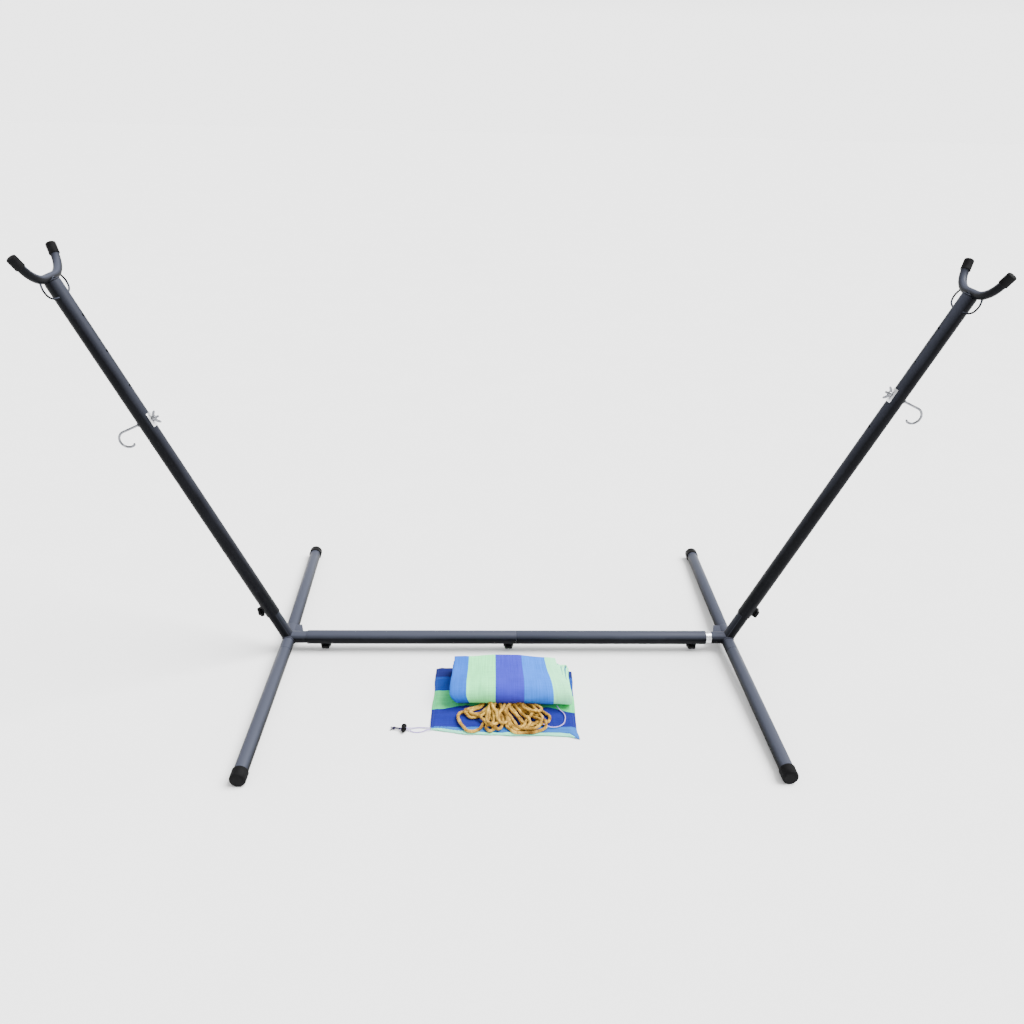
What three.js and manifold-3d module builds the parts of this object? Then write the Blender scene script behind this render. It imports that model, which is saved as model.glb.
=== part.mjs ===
// A hammock and its knock-down steel stand, with the hammock folded on its carry bag
// under the ridge of the stand. Millimetres, +Z up. X runs along the beam, Y along the feet.
// The stand is the same on both sides of X = 0, apart from the two hooks, which sit in
// different adjusting holes, and the beam, which is pushed home on the left stub only.

import * as THREE from 'three';
import { mergeVertices } from 'three/addons/utils/BufferGeometryUtils.js';
import Module from 'manifold-3d';

const wasm = await Module();
wasm.setup();

// ---------------------------------------------------------------- driving dimensions

const GAP = 0.3; // clearance between pieces that touch
const ROUND = 20; // sides of a round tube

// tubes
const SLEEVE_R = 21; // arms and beam, outside
const SLEEVE_BORE = 19;
const STUB_R = 18.6; // stubs of the corner brackets, inside the sleeves
const STUB_BORE = 16.4;
const FOOT_R = 19; // foot tubes, outside
const FOOT_BORE = 17;
const SPIGOT_R = 16.6; // spigots that hold the foot tubes
const SPIGOT_BORE = 14.6;

// layout of the stand
const CORNER_X = 684; // where the beam axis meets an arm axis
const BEAM_Z = 45;
const HUB_Z = 37; // foot axis at the bracket
const FOOT_END = { x: 700, y: 595, z: 20.5 }; // centre of a foot cap's end face
const ARM_ANGLE = THREE.MathUtils.degToRad(65);
const ARM_TOP = 1194; // along the arm, from the corner
const ARM_START = 95;
const ARM_STUB_END = 215;
const BEAM_STUB_END = 530; // |X| where a beam stub ends
const CROSS_HALF = 64; // half the thick part of the bracket's cross tube
const SPIGOT_END = 145;
const GUSSET = { inner: 10, beam: 41, foot: 30, near: 22, far: 61, thick: 6, z: 44 };

// beam halves
const BEAM_LEFT_END = -626;
const BEAM_RIGHT_END = 613;
const BEAM_SEAM = 18;
const JOINT_SLEEVE = { from: -62, to: 98 };

// clamping knobs
const BEAM_KNOB_X = 573;
const CENTRE_KNOB_X = -5;
const ARM_KNOB_AT = 116;
const KNOB = { radius: 15, lobe: 1.1, lobes: 5, height: 10, bevel: 1.6, collar: 8.5, reach: 17.5 };
const STUD_R = 3.9;
const STUD_HOLE = 4.5;
const WELD_NUT = { radius: 7.5, height: 6.5, seat: 13.6 };

// snap buttons that lock the foot tubes
const BUTTON_AT = 100;
const BUTTON_R = 4;
const BUTTON_PROUD = 2.6;
const LEAF = { width: 9, thick: 1, length: 46, at: 10 };

// foot caps
const FOOT_CAP = { radius: 21.4, length: 33, wall: 4 };

// adjusting holes and hooks
const HOLE_FIRST = 1087;
const HOLE_PITCH = 104;
const HOLE_COUNT = 4;
const HOOK_HOLE = { left: 3, right: 2 };
const HOOK = { wire: 3.3, tail: 41, straight: 73, radius: 23, lip: 9 };
const HOOK_HOLE_R = 4.4;
const SADDLE = { thick: 2, half: 20, spread: 0.6 };
const WING = { hub: 7.5, height: 9, span: 19, rise: 17, thick: 3.4 };

// yokes
const YOKE = { tube: 11, bore: 9, rise: 7, flat: 24, bend: 78, sweep: 66, prong: 27 };
const YOKE_SIDES = 12;
const YOKE_STEPS = 18;
const YOKE_PLUG = { flange: 4, depth: 60 };
const YOKE_CAP = { radius: 13.2, length: 32, wall: 3.5 };
const EYE = {
  wire: 2.5,
  line: [[50, 16], [57, 4], [64, -9], [65.5, -20], [60, -33], [46, -41.5], [30, -45], [12, -47]],
};

// folded hammock, ropes and bag
const PACK = { x: -27, y: -256, turn: THREE.MathUtils.degToRad(-1.5) };
const BAG = { width: 410, depth: 288, thick: 7, corner: 12 };
const FOLD = { x: 20, width: 345, front: -45, back: 134, height: 74, round: 30 };
const ROPES = { left: -133, right: 131, front: -142, tall: 34, low: 14 };
const CORD_R = 1.4;
const LOCK = { x: -272, y: -130.5, z: 7.6, radius: 7.5, length: 20, bore: 5, wall: 1.6 };
const LOCK_WIRE = 0.35;
const LOCK_SLOT = { at: -1.5, width: 7, tall: 8.6, travel: 4 };

const SIDES = { left: -1, right: 1 };
const ENDS = { front: -1, rear: 1 };

// ---------------------------------------------------------------- materials

function finish(color, roughness, metalness) {
  return () => new THREE.MeshStandardMaterial({ color, roughness, metalness });
}
const powderCoat = finish('#2c2d31', 0.45, 0.3);
const blackPlastic = finish('#0e0e10', 0.5, 0);
const rubber = finish('#17171a', 0.8, 0);
const zinc = finish('#c9ccd0', 0.3, 1);
const chrome = finish('#dfe2e6', 0.12, 1);
const stripedCotton = finish('#4f7fe0', 0.95, 0);
const ropeCotton = finish('#c99a4c', 0.95, 0);
const cordCotton = finish('#cfcbe0', 0.9, 0);

// ---------------------------------------------------------------- solids

function signedVolume(position, index) {
  const [a, b, c] = [new THREE.Vector3(), new THREE.Vector3(), new THREE.Vector3()];
  let sum = 0;
  for (let i = 0; i < index.length; i += 3) {
    a.fromBufferAttribute(position, index[i]);
    b.fromBufferAttribute(position, index[i + 1]);
    c.fromBufferAttribute(position, index[i + 2]);
    sum += a.dot(b.cross(c));
  }
  return sum / 6;
}

// One closed body with merged vertices and its faces pointing out.
function closed(geometry) {
  const bare = geometry.clone();
  bare.deleteAttribute('normal');
  bare.deleteAttribute('uv');
  const merged = mergeVertices(bare, 1e-4);
  const source = merged.index.array;
  const index = [];
  for (let i = 0; i < source.length; i += 3) {
    const [a, b, c] = [source[i], source[i + 1], source[i + 2]];
    if (a !== b && b !== c && c !== a) index.push(a, b, c);
  }
  if (signedVolume(merged.attributes.position, index) < 0) {
    for (let i = 0; i < index.length; i += 3) {
      [index[i + 1], index[i + 2]] = [index[i + 2], index[i + 1]];
    }
  }
  merged.setIndex(index);
  return merged;
}

function toSolid(geometry) {
  const body = closed(geometry);
  return new wasm.Manifold(new wasm.Mesh({
    numProp: 3,
    vertProperties: new Float32Array(body.attributes.position.array),
    triVerts: new Uint32Array(body.index.array),
  }));
}

function toGeometry(solid) {
  const mesh = solid.getMesh();
  const geometry = new THREE.BufferGeometry();
  geometry.setAttribute('position', new THREE.BufferAttribute(mesh.vertProperties, 3));
  geometry.setIndex(new THREE.BufferAttribute(mesh.triVerts, 1));
  geometry.computeVertexNormals();
  return geometry;
}

function join(...geometries) {
  return toGeometry(geometries.map(toSolid).reduce((sum, part) => sum.add(part)));
}

function cut(geometry, ...tools) {
  return toGeometry(tools.map(toSolid).reduce((rest, tool) => rest.subtract(tool), toSolid(geometry)));
}

// A lathe turned about Z instead of Y.
function turned(profile, sides) {
  const points = profile.map(([r, z]) => new THREE.Vector2(r, z));
  return closed(new THREE.LatheGeometry(points, sides)).rotateX(Math.PI / 2);
}

// Moves a shape made along +Z so that it starts at `from` and points at `to`.
function aim(geometry, from, to) {
  const along = to.clone().sub(from).normalize();
  const turn = new THREE.Quaternion().setFromUnitVectors(new THREE.Vector3(0, 0, 1), along);
  return geometry.applyQuaternion(turn).translate(from.x, from.y, from.z);
}

function rod(from, to, radius, sides = ROUND) {
  const length = from.distanceTo(to);
  return aim(turned([[0, 0], [radius, 0], [radius, length], [0, length]], sides), from, to);
}

function pipe(from, to, radius, bore, sides = ROUND) {
  const length = from.distanceTo(to);
  const ring = [[bore, 0], [radius, 0], [radius, length], [bore, length], [bore, 0]];
  return aim(turned(ring, sides), from, to);
}

function circle(radius, sides) {
  const points = [];
  for (let i = 0; i < sides; i += 1) {
    const angle = (2 * Math.PI * i) / sides;
    points.push(new THREE.Vector2(radius * Math.cos(angle), radius * Math.sin(angle)));
  }
  return new THREE.Shape(points);
}

// A bar of round section along a smooth curve through the points.
function bar(points, radius, sides, steps) {
  const path = new THREE.CatmullRomCurve3(points, false, 'centripetal');
  const options = { steps, extrudePath: path, bevelEnabled: false };
  return closed(new THREE.ExtrudeGeometry(circle(radius, sides), options));
}

// Points of an arc in a plane with the axes `across` and `up`, angles in degrees.
function arc(centre, across, up, radius, from, to, count) {
  const points = [];
  for (let i = 0; i <= count; i += 1) {
    const angle = THREE.MathUtils.degToRad(from + ((to - from) * i) / count);
    points.push(centre.clone()
      .addScaledVector(across, radius * Math.cos(angle))
      .addScaledVector(up, radius * Math.sin(angle)));
  }
  return points;
}

const hammock = new THREE.Group();
function add(name, geometry, material, parent = hammock) {
  const mesh = new THREE.Mesh(closed(geometry), material());
  mesh.name = name;
  parent.add(mesh);
}

// ---------------------------------------------------------------- places

const v = (x, y, z) => new THREE.Vector3(x, y, z);
const alongY = v(0, 1, 0);
const corner = (side) => v(side * CORNER_X, 0, BEAM_Z);
const hub = (side) => v(side * CORNER_X, 0, HUB_Z);
const footEnd = (side, end) => v(side * FOOT_END.x, end * FOOT_END.y, FOOT_END.z);
const armUp = (side) => v(side * Math.cos(ARM_ANGLE), 0, Math.sin(ARM_ANGLE));
const armOut = (side) => v(side * Math.sin(ARM_ANGLE), 0, -Math.cos(ARM_ANGLE));
const footAlong = (side, end) => footEnd(side, end).sub(hub(side)).normalize();

// A place on an arm: distance up from the corner, distance out from the arm's axis.
function onArm(side, up, out = 0, y = 0) {
  return corner(side).addScaledVector(armUp(side), up).addScaledVector(armOut(side), out).setY(y);
}
function onFoot(side, end, along) {
  return hub(side).addScaledVector(footAlong(side, end), along);
}
function onBeam(x, z = 0) {
  return v(x, 0, BEAM_Z + z);
}

// The five clamping knobs: a point on the tube's axis and the way the knob points.
const down = v(0, 0, -1);
const CLAMPS = {
  arm_left: [onArm(-1, ARM_KNOB_AT), armOut(-1)],
  beam_left: [onBeam(-BEAM_KNOB_X), down],
  beam_centre: [onBeam(CENTRE_KNOB_X), down],
  beam_right: [onBeam(BEAM_KNOB_X), down],
  arm_right: [onArm(1, ARM_KNOB_AT), armOut(1)],
};
const outFrom = ([axis, way], distance) => axis.clone().addScaledVector(way, distance);
const studHole = (clamp) => rod(outFrom(clamp, 6), outFrom(clamp, 30), STUD_HOLE, 10);

// The way a snap button points: outwards, square to its foot tube.
function buttonWay(side, end) {
  const along = footAlong(side, end);
  const out = v(side, 0, 0);
  return out.addScaledVector(along, -out.dot(along)).normalize();
}
function buttonHole(side, end) {
  const at = onFoot(side, end, BUTTON_AT);
  return rod(at, at.clone().addScaledVector(buttonWay(side, end), 30), BUTTON_R + 0.6, 8);
}

// ---------------------------------------------------------------- stand

// A small web plate in the corner between the beam stub and the rear of the cross tube.
function gusset(side) {
  const { inner, beam, foot: toFoot, near, far, thick, z } = GUSSET;
  const corners = [[inner, 6], [inner, far], [toFoot, far], [beam, near], [beam, 6]];
  const shape = new THREE.Shape(corners.map(([x, y]) => new THREE.Vector2(side * (CORNER_X - x), y)));
  return new THREE.ExtrudeGeometry(shape, { depth: thick, bevelEnabled: false }).translate(0, 0, z);
}

function cornerBracket(name, side) {
  const centre = corner(side);
  const stubEnd = onBeam(side * BEAM_STUB_END);
  const solids = [
    rod(centre, stubEnd, STUB_R),
    rod(centre, onArm(side, ARM_STUB_END), STUB_R),
    gusset(side),
  ];
  const bores = [
    rod(onBeam(side * (CORNER_X - 30)), onBeam(side * (BEAM_STUB_END - 5)), STUB_BORE, 12),
    rod(onArm(side, 32), onArm(side, ARM_STUB_END + 5), STUB_BORE, 12),
    studHole(CLAMPS[`beam_${name}`]),
    studHole(CLAMPS[`arm_${name}`]),
  ];
  for (const end of Object.values(ENDS)) {
    solids.push(rod(onFoot(side, end, -8), onFoot(side, end, CROSS_HALF), FOOT_R));
    solids.push(rod(onFoot(side, end, 0), onFoot(side, end, SPIGOT_END), SPIGOT_R));
    bores.push(rod(onFoot(side, end, -8), onFoot(side, end, SPIGOT_END + 5), SPIGOT_BORE, 10));
    bores.push(buttonHole(side, end));
  }
  add(`corner_bracket_${name}`, cut(join(...solids), ...bores), powderCoat);
}

function foot(name, side, place, end) {
  const start = onFoot(side, end, CROSS_HALF + GAP);
  const finishAt = footEnd(side, end).addScaledVector(footAlong(side, end), -FOOT_CAP.wall - GAP);
  const tube = pipe(start, finishAt, FOOT_R, FOOT_BORE);
  add(`foot_tube_${place}_${name}`, cut(tube, buttonHole(side, end)), powderCoat);
}

// A cap pulled over the end of a foot tube, with a flat sole on the ground.
function footCap(name, side, place, end) {
  const inner = FOOT_R + GAP + 0.1;
  const { radius, length, wall } = FOOT_CAP;
  const profile = [
    [0, 0], [radius - 2.2, 0], [radius, 2.2], [radius, length], [inner, length], [inner, wall], [0, wall],
  ];
  const cap = aim(turned(profile, ROUND), footEnd(side, end), hub(side));
  const ground = new THREE.BoxGeometry(120, 120, 40);
  ground.translate(side * FOOT_END.x, end * FOOT_END.y, -20);
  add(`foot_cap_${place}_${name}`, cut(cap, ground), rubber);
}

// The spring strip that carries a snap button inside the spigot.
function springLeaf(side, end) {
  const { width, thick, length, at } = LEAF;
  const strip = new THREE.BoxGeometry(width, length, thick);
  strip.translate(0, -length / 2 + BUTTON_R + 2, at);
  const way = buttonWay(side, end);
  const along = footAlong(side, end);
  const turn = new THREE.Matrix4().makeBasis(along.clone().cross(way), along, way);
  return strip.applyMatrix4(turn.setPosition(onFoot(side, end, BUTTON_AT)));
}

function snapButton(name, side, place, end) {
  const at = onFoot(side, end, BUTTON_AT);
  const top = FOOT_R + BUTTON_PROUD;
  const profile = [[0, 10], [BUTTON_R, 10], [BUTTON_R, top - 1.4], [BUTTON_R - 1.8, top], [0, top]];
  const tip = at.clone().add(buttonWay(side, end));
  const pin = aim(turned(profile, 10), at, tip);
  add(`snap_button_${place}_${name}`, join(pin, springLeaf(side, end)), zinc);
}

function beam() {
  const left = pipe(onBeam(BEAM_LEFT_END), onBeam(BEAM_SEAM - GAP / 2), SLEEVE_R, SLEEVE_BORE);
  const right = pipe(onBeam(BEAM_SEAM + GAP / 2), onBeam(BEAM_RIGHT_END), SLEEVE_R, SLEEVE_BORE);
  const sleeve = pipe(onBeam(JOINT_SLEEVE.from), onBeam(JOINT_SLEEVE.to), STUB_R, STUB_BORE);
  const centreHole = studHole(CLAMPS.beam_centre);
  add('beam_tube_left', cut(left, studHole(CLAMPS.beam_left), centreHole), powderCoat);
  add('beam_tube_right', cut(right, studHole(CLAMPS.beam_right)), powderCoat);
  add('beam_joint_sleeve', cut(sleeve, centreHole), zinc);
}

function armTube(name, side) {
  const top = ARM_TOP - YOKE_PLUG.flange - GAP;
  const tube = pipe(onArm(side, ARM_START), onArm(side, top), SLEEVE_R, SLEEVE_BORE);
  const holes = [studHole(CLAMPS[`arm_${name}`])];
  for (let i = 0; i < HOLE_COUNT; i += 1) {
    const up = HOLE_FIRST - i * HOLE_PITCH;
    holes.push(rod(onArm(side, up, -30), onArm(side, up, 30), HOOK_HOLE_R, 8));
  }
  add(`arm_tube_${name}`, cut(tube, ...holes), powderCoat);
}

// ---------------------------------------------------------------- clamping knobs

function lobedShape() {
  const points = [];
  const count = KNOB.lobes * 4;
  for (let i = 0; i < count; i += 1) {
    const angle = (2 * Math.PI * i) / count;
    const r = KNOB.radius - KNOB.bevel + KNOB.lobe * Math.cos(KNOB.lobes * angle);
    points.push(new THREE.Vector2(r * Math.cos(angle), r * Math.sin(angle)));
  }
  return new THREE.Shape(points);
}

function clampingKnob(name, clamp) {
  const [axis, way] = clamp;
  const base = SLEEVE_R + 0.6;
  const headAt = base + 3.6;
  const head = new THREE.ExtrudeGeometry(lobedShape(), {
    depth: KNOB.height - 2 * KNOB.bevel,
    bevelThickness: KNOB.bevel,
    bevelSize: KNOB.bevel,
    bevelSegments: 1,
  });
  head.translate(0, 0, headAt + KNOB.bevel);
  const end = base + KNOB.reach;
  const body = turned([[0, base], [KNOB.collar, base], [KNOB.collar, headAt + 3],
    [5, end - 1], [3.6, end], [0, end]], 12);
  const bore = turned([[0, base - 2], [STUD_R + GAP, base - 2], [STUD_R + GAP, base + 9.3],
    [0, base + 9.3]], 10);
  const knob = cut(join(head, body), bore);
  add(`knob_${name}`, aim(knob, axis, axis.clone().add(way)), blackPlastic);

  const stud = rod(outFrom(clamp, 7), outFrom(clamp, base + 9), STUD_R, 10);
  add(`knob_stud_${name}`, stud, zinc);

  const top = WELD_NUT.seat;
  const nut = turned([[STUD_R + GAP, top - WELD_NUT.height], [WELD_NUT.radius, top - WELD_NUT.height],
    [WELD_NUT.radius, top], [STUD_R + GAP, top], [STUD_R + GAP, top - WELD_NUT.height]], 6);
  add(`weld_nut_${name}`, cut(aim(nut, axis, axis.clone().add(way)),
    rod(outFrom(clamp, 0), outFrom(clamp, 30), STUD_R + GAP + 0.1, 10)), zinc);
}

// ---------------------------------------------------------------- hooks

function hookBolt(name, side) {
  const up = HOLE_FIRST - HOOK_HOLE[name] * HOLE_PITCH;
  const centre = onArm(side, up - HOOK.radius, HOOK.straight);
  const bend = arc(centre, armOut(side), armUp(side), HOOK.radius, 90, -90, 8);
  const points = [-HOOK.tail, -20, 0, 20, 40, 58].map((out) => onArm(side, up, out));
  points.push(...bend);
  points.push(onArm(side, up - 2 * HOOK.radius + 1, HOOK.straight - HOOK.lip + 3));
  points.push(onArm(side, up - 2 * HOOK.radius + 5, HOOK.straight - HOOK.lip - 1));
  const wire = bar(points, HOOK.wire, 8, 22);
  const shoulder = rod(onArm(side, up, SLEEVE_R + GAP), onArm(side, up, SLEEVE_R + 4), 6.6, 6);
  add(`hook_bolt_${name}`, join(wire, shoulder), chrome);

  add(`saddle_washer_${name}`, saddleWasher(side, up), zinc);
  add(`wing_nut_${name}`, wingNut(side, up), chrome);
}

// A curved washer between the wing nut and the round arm tube.
function saddleWasher(side, up) {
  const inner = SLEEVE_R + GAP;
  const outer = inner + SADDLE.thick;
  const shape = new THREE.Shape();
  shape.absarc(0, 0, outer, -SADDLE.spread, SADDLE.spread, false);
  shape.absarc(0, 0, inner, SADDLE.spread, -SADDLE.spread, true);
  const plate = new THREE.ExtrudeGeometry(shape, {
    depth: 2 * SADDLE.half,
    bevelEnabled: false,
    curveSegments: 8,
  });
  plate.translate(0, 0, -SADDLE.half);
  const inward = armOut(side).negate();
  const turn = new THREE.Matrix4().makeBasis(inward, armUp(side).cross(inward), armUp(side));
  plate.applyMatrix4(turn.setPosition(onArm(side, up)));
  const hole = rod(onArm(side, up, -15), onArm(side, up, -30), HOOK_HOLE_R, 12);
  return cut(plate, hole);
}

function wingNut(side, up) {
  const seat = SLEEVE_R + SADDLE.thick + 2 * GAP + 0.1;
  const hubBody = turned([[0, seat], [WING.hub, seat], [WING.hub - 1.6, seat + WING.height],
    [0, seat + WING.height]], 14);
  const wings = new THREE.Shape();
  wings.moveTo(-WING.hub + 2, seat + 0.6);
  wings.quadraticCurveTo(-WING.span + 2, seat + 5, -WING.span, seat + WING.rise - 3);
  wings.quadraticCurveTo(-WING.span + 3, seat + WING.rise + 1, -WING.span + 8, seat + WING.rise - 5);
  wings.quadraticCurveTo(0, seat + 3, WING.span - 8, seat + WING.rise - 5);
  wings.quadraticCurveTo(WING.span - 3, seat + WING.rise + 1, WING.span, seat + WING.rise - 3);
  wings.quadraticCurveTo(WING.span - 2, seat + 5, WING.hub - 2, seat + 0.6);
  const plate = new THREE.ExtrudeGeometry(wings, {
    depth: WING.thick,
    bevelEnabled: false,
    curveSegments: 4,
  });
  plate.translate(0, 0, -WING.thick / 2).rotateX(Math.PI / 2);
  const nut = cut(join(hubBody, plate), turned([[0, seat - 3], [HOOK.wire + GAP, seat - 3],
    [HOOK.wire + GAP, seat + 30], [0, seat + 30]], 14));
  const inward = armOut(side).negate();
  const turn = new THREE.Matrix4().makeBasis(armUp(side), inward.clone().cross(armUp(side)), inward);
  return nut.applyMatrix4(turn.setPosition(onArm(side, up)));
}

// ---------------------------------------------------------------- yokes

// Centre line of a yoke's tube: flat bottom, two bends, two straight prongs.
function yokeLine(side) {
  const { rise, flat, bend, sweep, prong } = YOKE;
  const bottom = onArm(side, ARM_TOP + rise);
  const up = armUp(side);
  const half = [];
  const centre = bottom.clone().addScaledVector(up, bend).addScaledVector(alongY, flat);
  half.push(...arc(centre, alongY, up, bend, -90, -90 + sweep, 7));
  const last = half[half.length - 1];
  const lean = THREE.MathUtils.degToRad(sweep);
  for (const along of [prong / 2, prong]) {
    half.push(last.clone()
      .addScaledVector(alongY, along * Math.cos(lean))
      .addScaledVector(up, along * Math.sin(lean)));
  }
  const mirrored = half.map((point) => point.clone().setY(-point.y)).reverse();
  return [...mirrored, bottom, ...half];
}

function prongWay(line, end) {
  return end > 0
    ? line.at(-1).clone().sub(line.at(-2)).normalize()
    : line[0].clone().sub(line[1]).normalize();
}

function yoke(name, side) {
  const line = yokeLine(side);
  const plugStart = ARM_TOP - YOKE_PLUG.depth;
  const outer = join(
    bar(line, YOKE.tube, YOKE_SIDES, YOKE_STEPS),
    rod(onArm(side, ARM_TOP - YOKE_PLUG.flange), onArm(side, ARM_TOP), SLEEVE_R - 0.4),
    rod(onArm(side, plugStart), onArm(side, ARM_TOP - 1), STUB_R),
  );
  const longer = [
    line[0].clone().addScaledVector(prongWay(line, -1), 4),
    ...line.slice(1, -1),
    line.at(-1).clone().addScaledVector(prongWay(line, 1), 4),
  ];
  const bores = [
    bar(longer, YOKE.bore, 8, YOKE_STEPS),
    rod(onArm(side, plugStart - 5), onArm(side, ARM_TOP - 9), STUB_BORE, 12),
  ];
  add(`yoke_${name}`, cut(outer, ...bores), powderCoat);

  for (const [place, end] of Object.entries(ENDS)) {
    const tip = end > 0 ? line.at(-1) : line[0];
    const way = prongWay(line, end);
    const { radius, length, wall } = YOKE_CAP;
    const inner = YOKE.tube + GAP;
    const profile = [[0, 0], [radius - 2, 0], [radius, 2], [radius, length], [inner, length],
      [inner, wall], [0, wall]];
    const capEnd = tip.clone().addScaledVector(way, wall + GAP);
    add(`yoke_cap_${place}_${name}`, aim(turned(profile, 20), capEnd, tip), rubber);
    add(`yoke_eye_${place}_${name}`, yokeEye(side, end, line), powderCoat);
  }
}

// A wire eye welded between the underside of the yoke and the side of the arm.
function yokeEye(side, end, line) {
  const points = EYE.line.map(([y, rise]) => onArm(side, ARM_TOP + rise, 0, end * y));
  const wire = bar(points, EYE.wire, 8, 14);
  const arm = rod(onArm(side, 1000), onArm(side, ARM_TOP + GAP), SLEEVE_R + GAP);
  const tube = bar(line, YOKE.tube + GAP, YOKE_SIDES, YOKE_STEPS);
  const pieces = toSolid(cut(wire, arm, tube)).decompose();
  pieces.sort((a, b) => b.volume() - a.volume());
  return toGeometry(pieces[0]);
}

// ---------------------------------------------------------------- hammock and bag

const pack = new THREE.Group();
pack.position.set(PACK.x, PACK.y, 0);
pack.rotation.z = PACK.turn;
hammock.add(pack);

function roundedBox(width, depth, radius) {
  const [w, d] = [width / 2, depth / 2];
  const shape = new THREE.Shape();
  shape.absarc(w - radius, d - radius, radius, 0, Math.PI / 2);
  shape.absarc(-w + radius, d - radius, radius, Math.PI / 2, Math.PI);
  shape.absarc(-w + radius, -d + radius, radius, Math.PI, 1.5 * Math.PI);
  shape.absarc(w - radius, -d + radius, radius, 1.5 * Math.PI, 2 * Math.PI);
  return shape;
}

function bag() {
  const shape = roundedBox(BAG.width, BAG.depth, BAG.corner);
  const slab = new THREE.ExtrudeGeometry(shape, { depth: BAG.thick, bevelEnabled: false, curveSegments: 4 });
  add('carry_bag', slab, stripedCotton, pack);
}

// The folded hammock: a side view of the stack, pulled out to the width of the fold.
function foldedHammock() {
  const depth = FOLD.back - FOLD.front;
  const shape = roundedBox(depth, FOLD.height, FOLD.round);
  const bevel = 10;
  const stack = new THREE.ExtrudeGeometry(roundedBox(depth - 2 * bevel, FOLD.height - 2 * bevel, FOLD.round - bevel), {
    depth: FOLD.width - 2 * bevel,
    bevelThickness: bevel,
    bevelSize: bevel,
    bevelSegments: 2,
    curveSegments: 3,
  });
  stack.translate(0, 0, bevel - FOLD.width / 2);
  stack.rotateX(Math.PI / 2).rotateZ(Math.PI / 2);
  stack.translate(FOLD.x, (FOLD.front + FOLD.back) / 2, BAG.thick + GAP + FOLD.height / 2);
  add('folded_hammock', stack, stripedCotton, pack);
}

// The heap of suspension ropes that spills out in front of the folded hammock.
function ropeHeap() {
  const back = FOLD.front - GAP;
  const floor = BAG.thick + GAP;
  const side = new THREE.Shape();
  side.moveTo(back, floor);
  side.lineTo(back, floor + ROPES.tall);
  side.quadraticCurveTo(back - 50, floor + ROPES.tall, ROPES.front + 12, floor + ROPES.low);
  side.quadraticCurveTo(ROPES.front, floor + ROPES.low, ROPES.front, floor);
  const width = ROPES.right - ROPES.left;
  const heap = new THREE.ExtrudeGeometry(side, { depth: width, bevelEnabled: false, curveSegments: 6 });
  heap.rotateX(Math.PI / 2).rotateZ(Math.PI / 2);
  heap.translate(ROPES.left, 0, 0);
  add('rope_heap', heap, ropeCotton, pack);
}

// Routes of the two drawstring ends, from the hem of the bag through the cord lock.
const DRAWSTRING = {
  front: [[-205.6, -133, 4], [-212, -135, 3.4], [-221, -139, 2], [-232, -141.5, 1.7], [-243, -141.5, 1.7],
    [-252, -138.2, 2.8], [-259, -134.8, 4.8], [-265, -134, 5.8], [-272, -134, 5.9], [-280, -134, 5.8],
    [-287, -133.4, 4.8], [-294, -131, 4.2]],
  rear: [[-205.6, -126, 4], [-212, -124.6, 3.2], [-221, -122.6, 1.8], [-232, -122.4, 1.7],
    [-243, -124.6, 2.2], [-252, -128.6, 4.8], [-259, -132, 7.8], [-265, -133.7, 9.1], [-272, -134, 9.3],
    [-280, -133.8, 8.9], [-287, -132.4, 7.8], [-294, -128.6, 6.6]],
};

function drawstring() {
  for (const [place, route] of Object.entries(DRAWSTRING)) {
    const points = route.map(([x, y, z]) => v(x, y, z));
    add(`drawstring_${place}`, bar(points, CORD_R, 8, 18), cordCotton, pack);
  }
  const knot = new THREE.SphereGeometry(1, 12, 8);
  knot.scale(4.6, 5, 4.4).translate(-299.2, -128.6, 4.6);
  add('drawstring_knot', knot, cordCotton, pack);
}

// The cord lock lies on its side: its plunger runs along Y, the cords pass through along X.
// The holes of barrel and plunger are out of line by the travel, which pinches the cords.
function cordLock() {
  const { x, y, z, radius, length, bore, wall } = LOCK;
  const { at, width, tall, travel } = LOCK_SLOT;
  const back = y + length / 2;
  const shell = turned([[0, 0], [radius - 1.2, 0], [radius, 1.2], [radius, length - 1],
    [radius - 1, length], [bore, length], [bore, wall], [0, wall]], 16);
  const slot = new THREE.BoxGeometry(4 * radius, width, tall).translate(x, y + at, z);
  add('cord_lock_body', cut(aim(shell, v(x, back, z), v(x, back - 1, z)), slot), blackPlastic, pack);

  const inner = back - (y + at + width / 2 - travel) - 3.2;
  const end = length + 7;
  const slim = bore - GAP;
  const plunger = turned([[0, inner], [slim, inner], [slim, end - 1.6], [slim - 1.6, end], [0, end]], 14);
  const eye = new THREE.BoxGeometry(4 * radius, width, tall - 1.2).translate(x, y + at - travel, z);
  add('cord_lock_button', cut(aim(plunger, v(x, back, z), v(x, back - 1, z)), eye), blackPlastic, pack);

  const turns = 3;
  const steps = 24;
  const free = inner - wall - 2 * LOCK_WIRE - 2 * GAP;
  const points = [];
  for (let i = 0; i <= steps; i += 1) {
    const angle = (2 * Math.PI * turns * i) / steps;
    const along = wall + GAP + LOCK_WIRE + (free * i) / steps;
    points.push(v(x + 3.4 * Math.cos(angle), back - along, z + 3.4 * Math.sin(angle)));
  }
  add('cord_lock_spring', bar(points, LOCK_WIRE, 4, 24), zinc, pack);
}

// ---------------------------------------------------------------- assembly

for (const [name, side] of Object.entries(SIDES)) {
  cornerBracket(name, side);
  armTube(name, side);
  yoke(name, side);
  hookBolt(name, side);
  for (const [place, end] of Object.entries(ENDS)) {
    foot(name, side, place, end);
    footCap(name, side, place, end);
    snapButton(name, side, place, end);
  }
}
beam();
for (const [name, clamp] of Object.entries(CLAMPS)) clampingKnob(name, clamp);
bag();
foldedHammock();
ropeHeap();
drawstring();
cordLock();

export default hammock;
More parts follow.
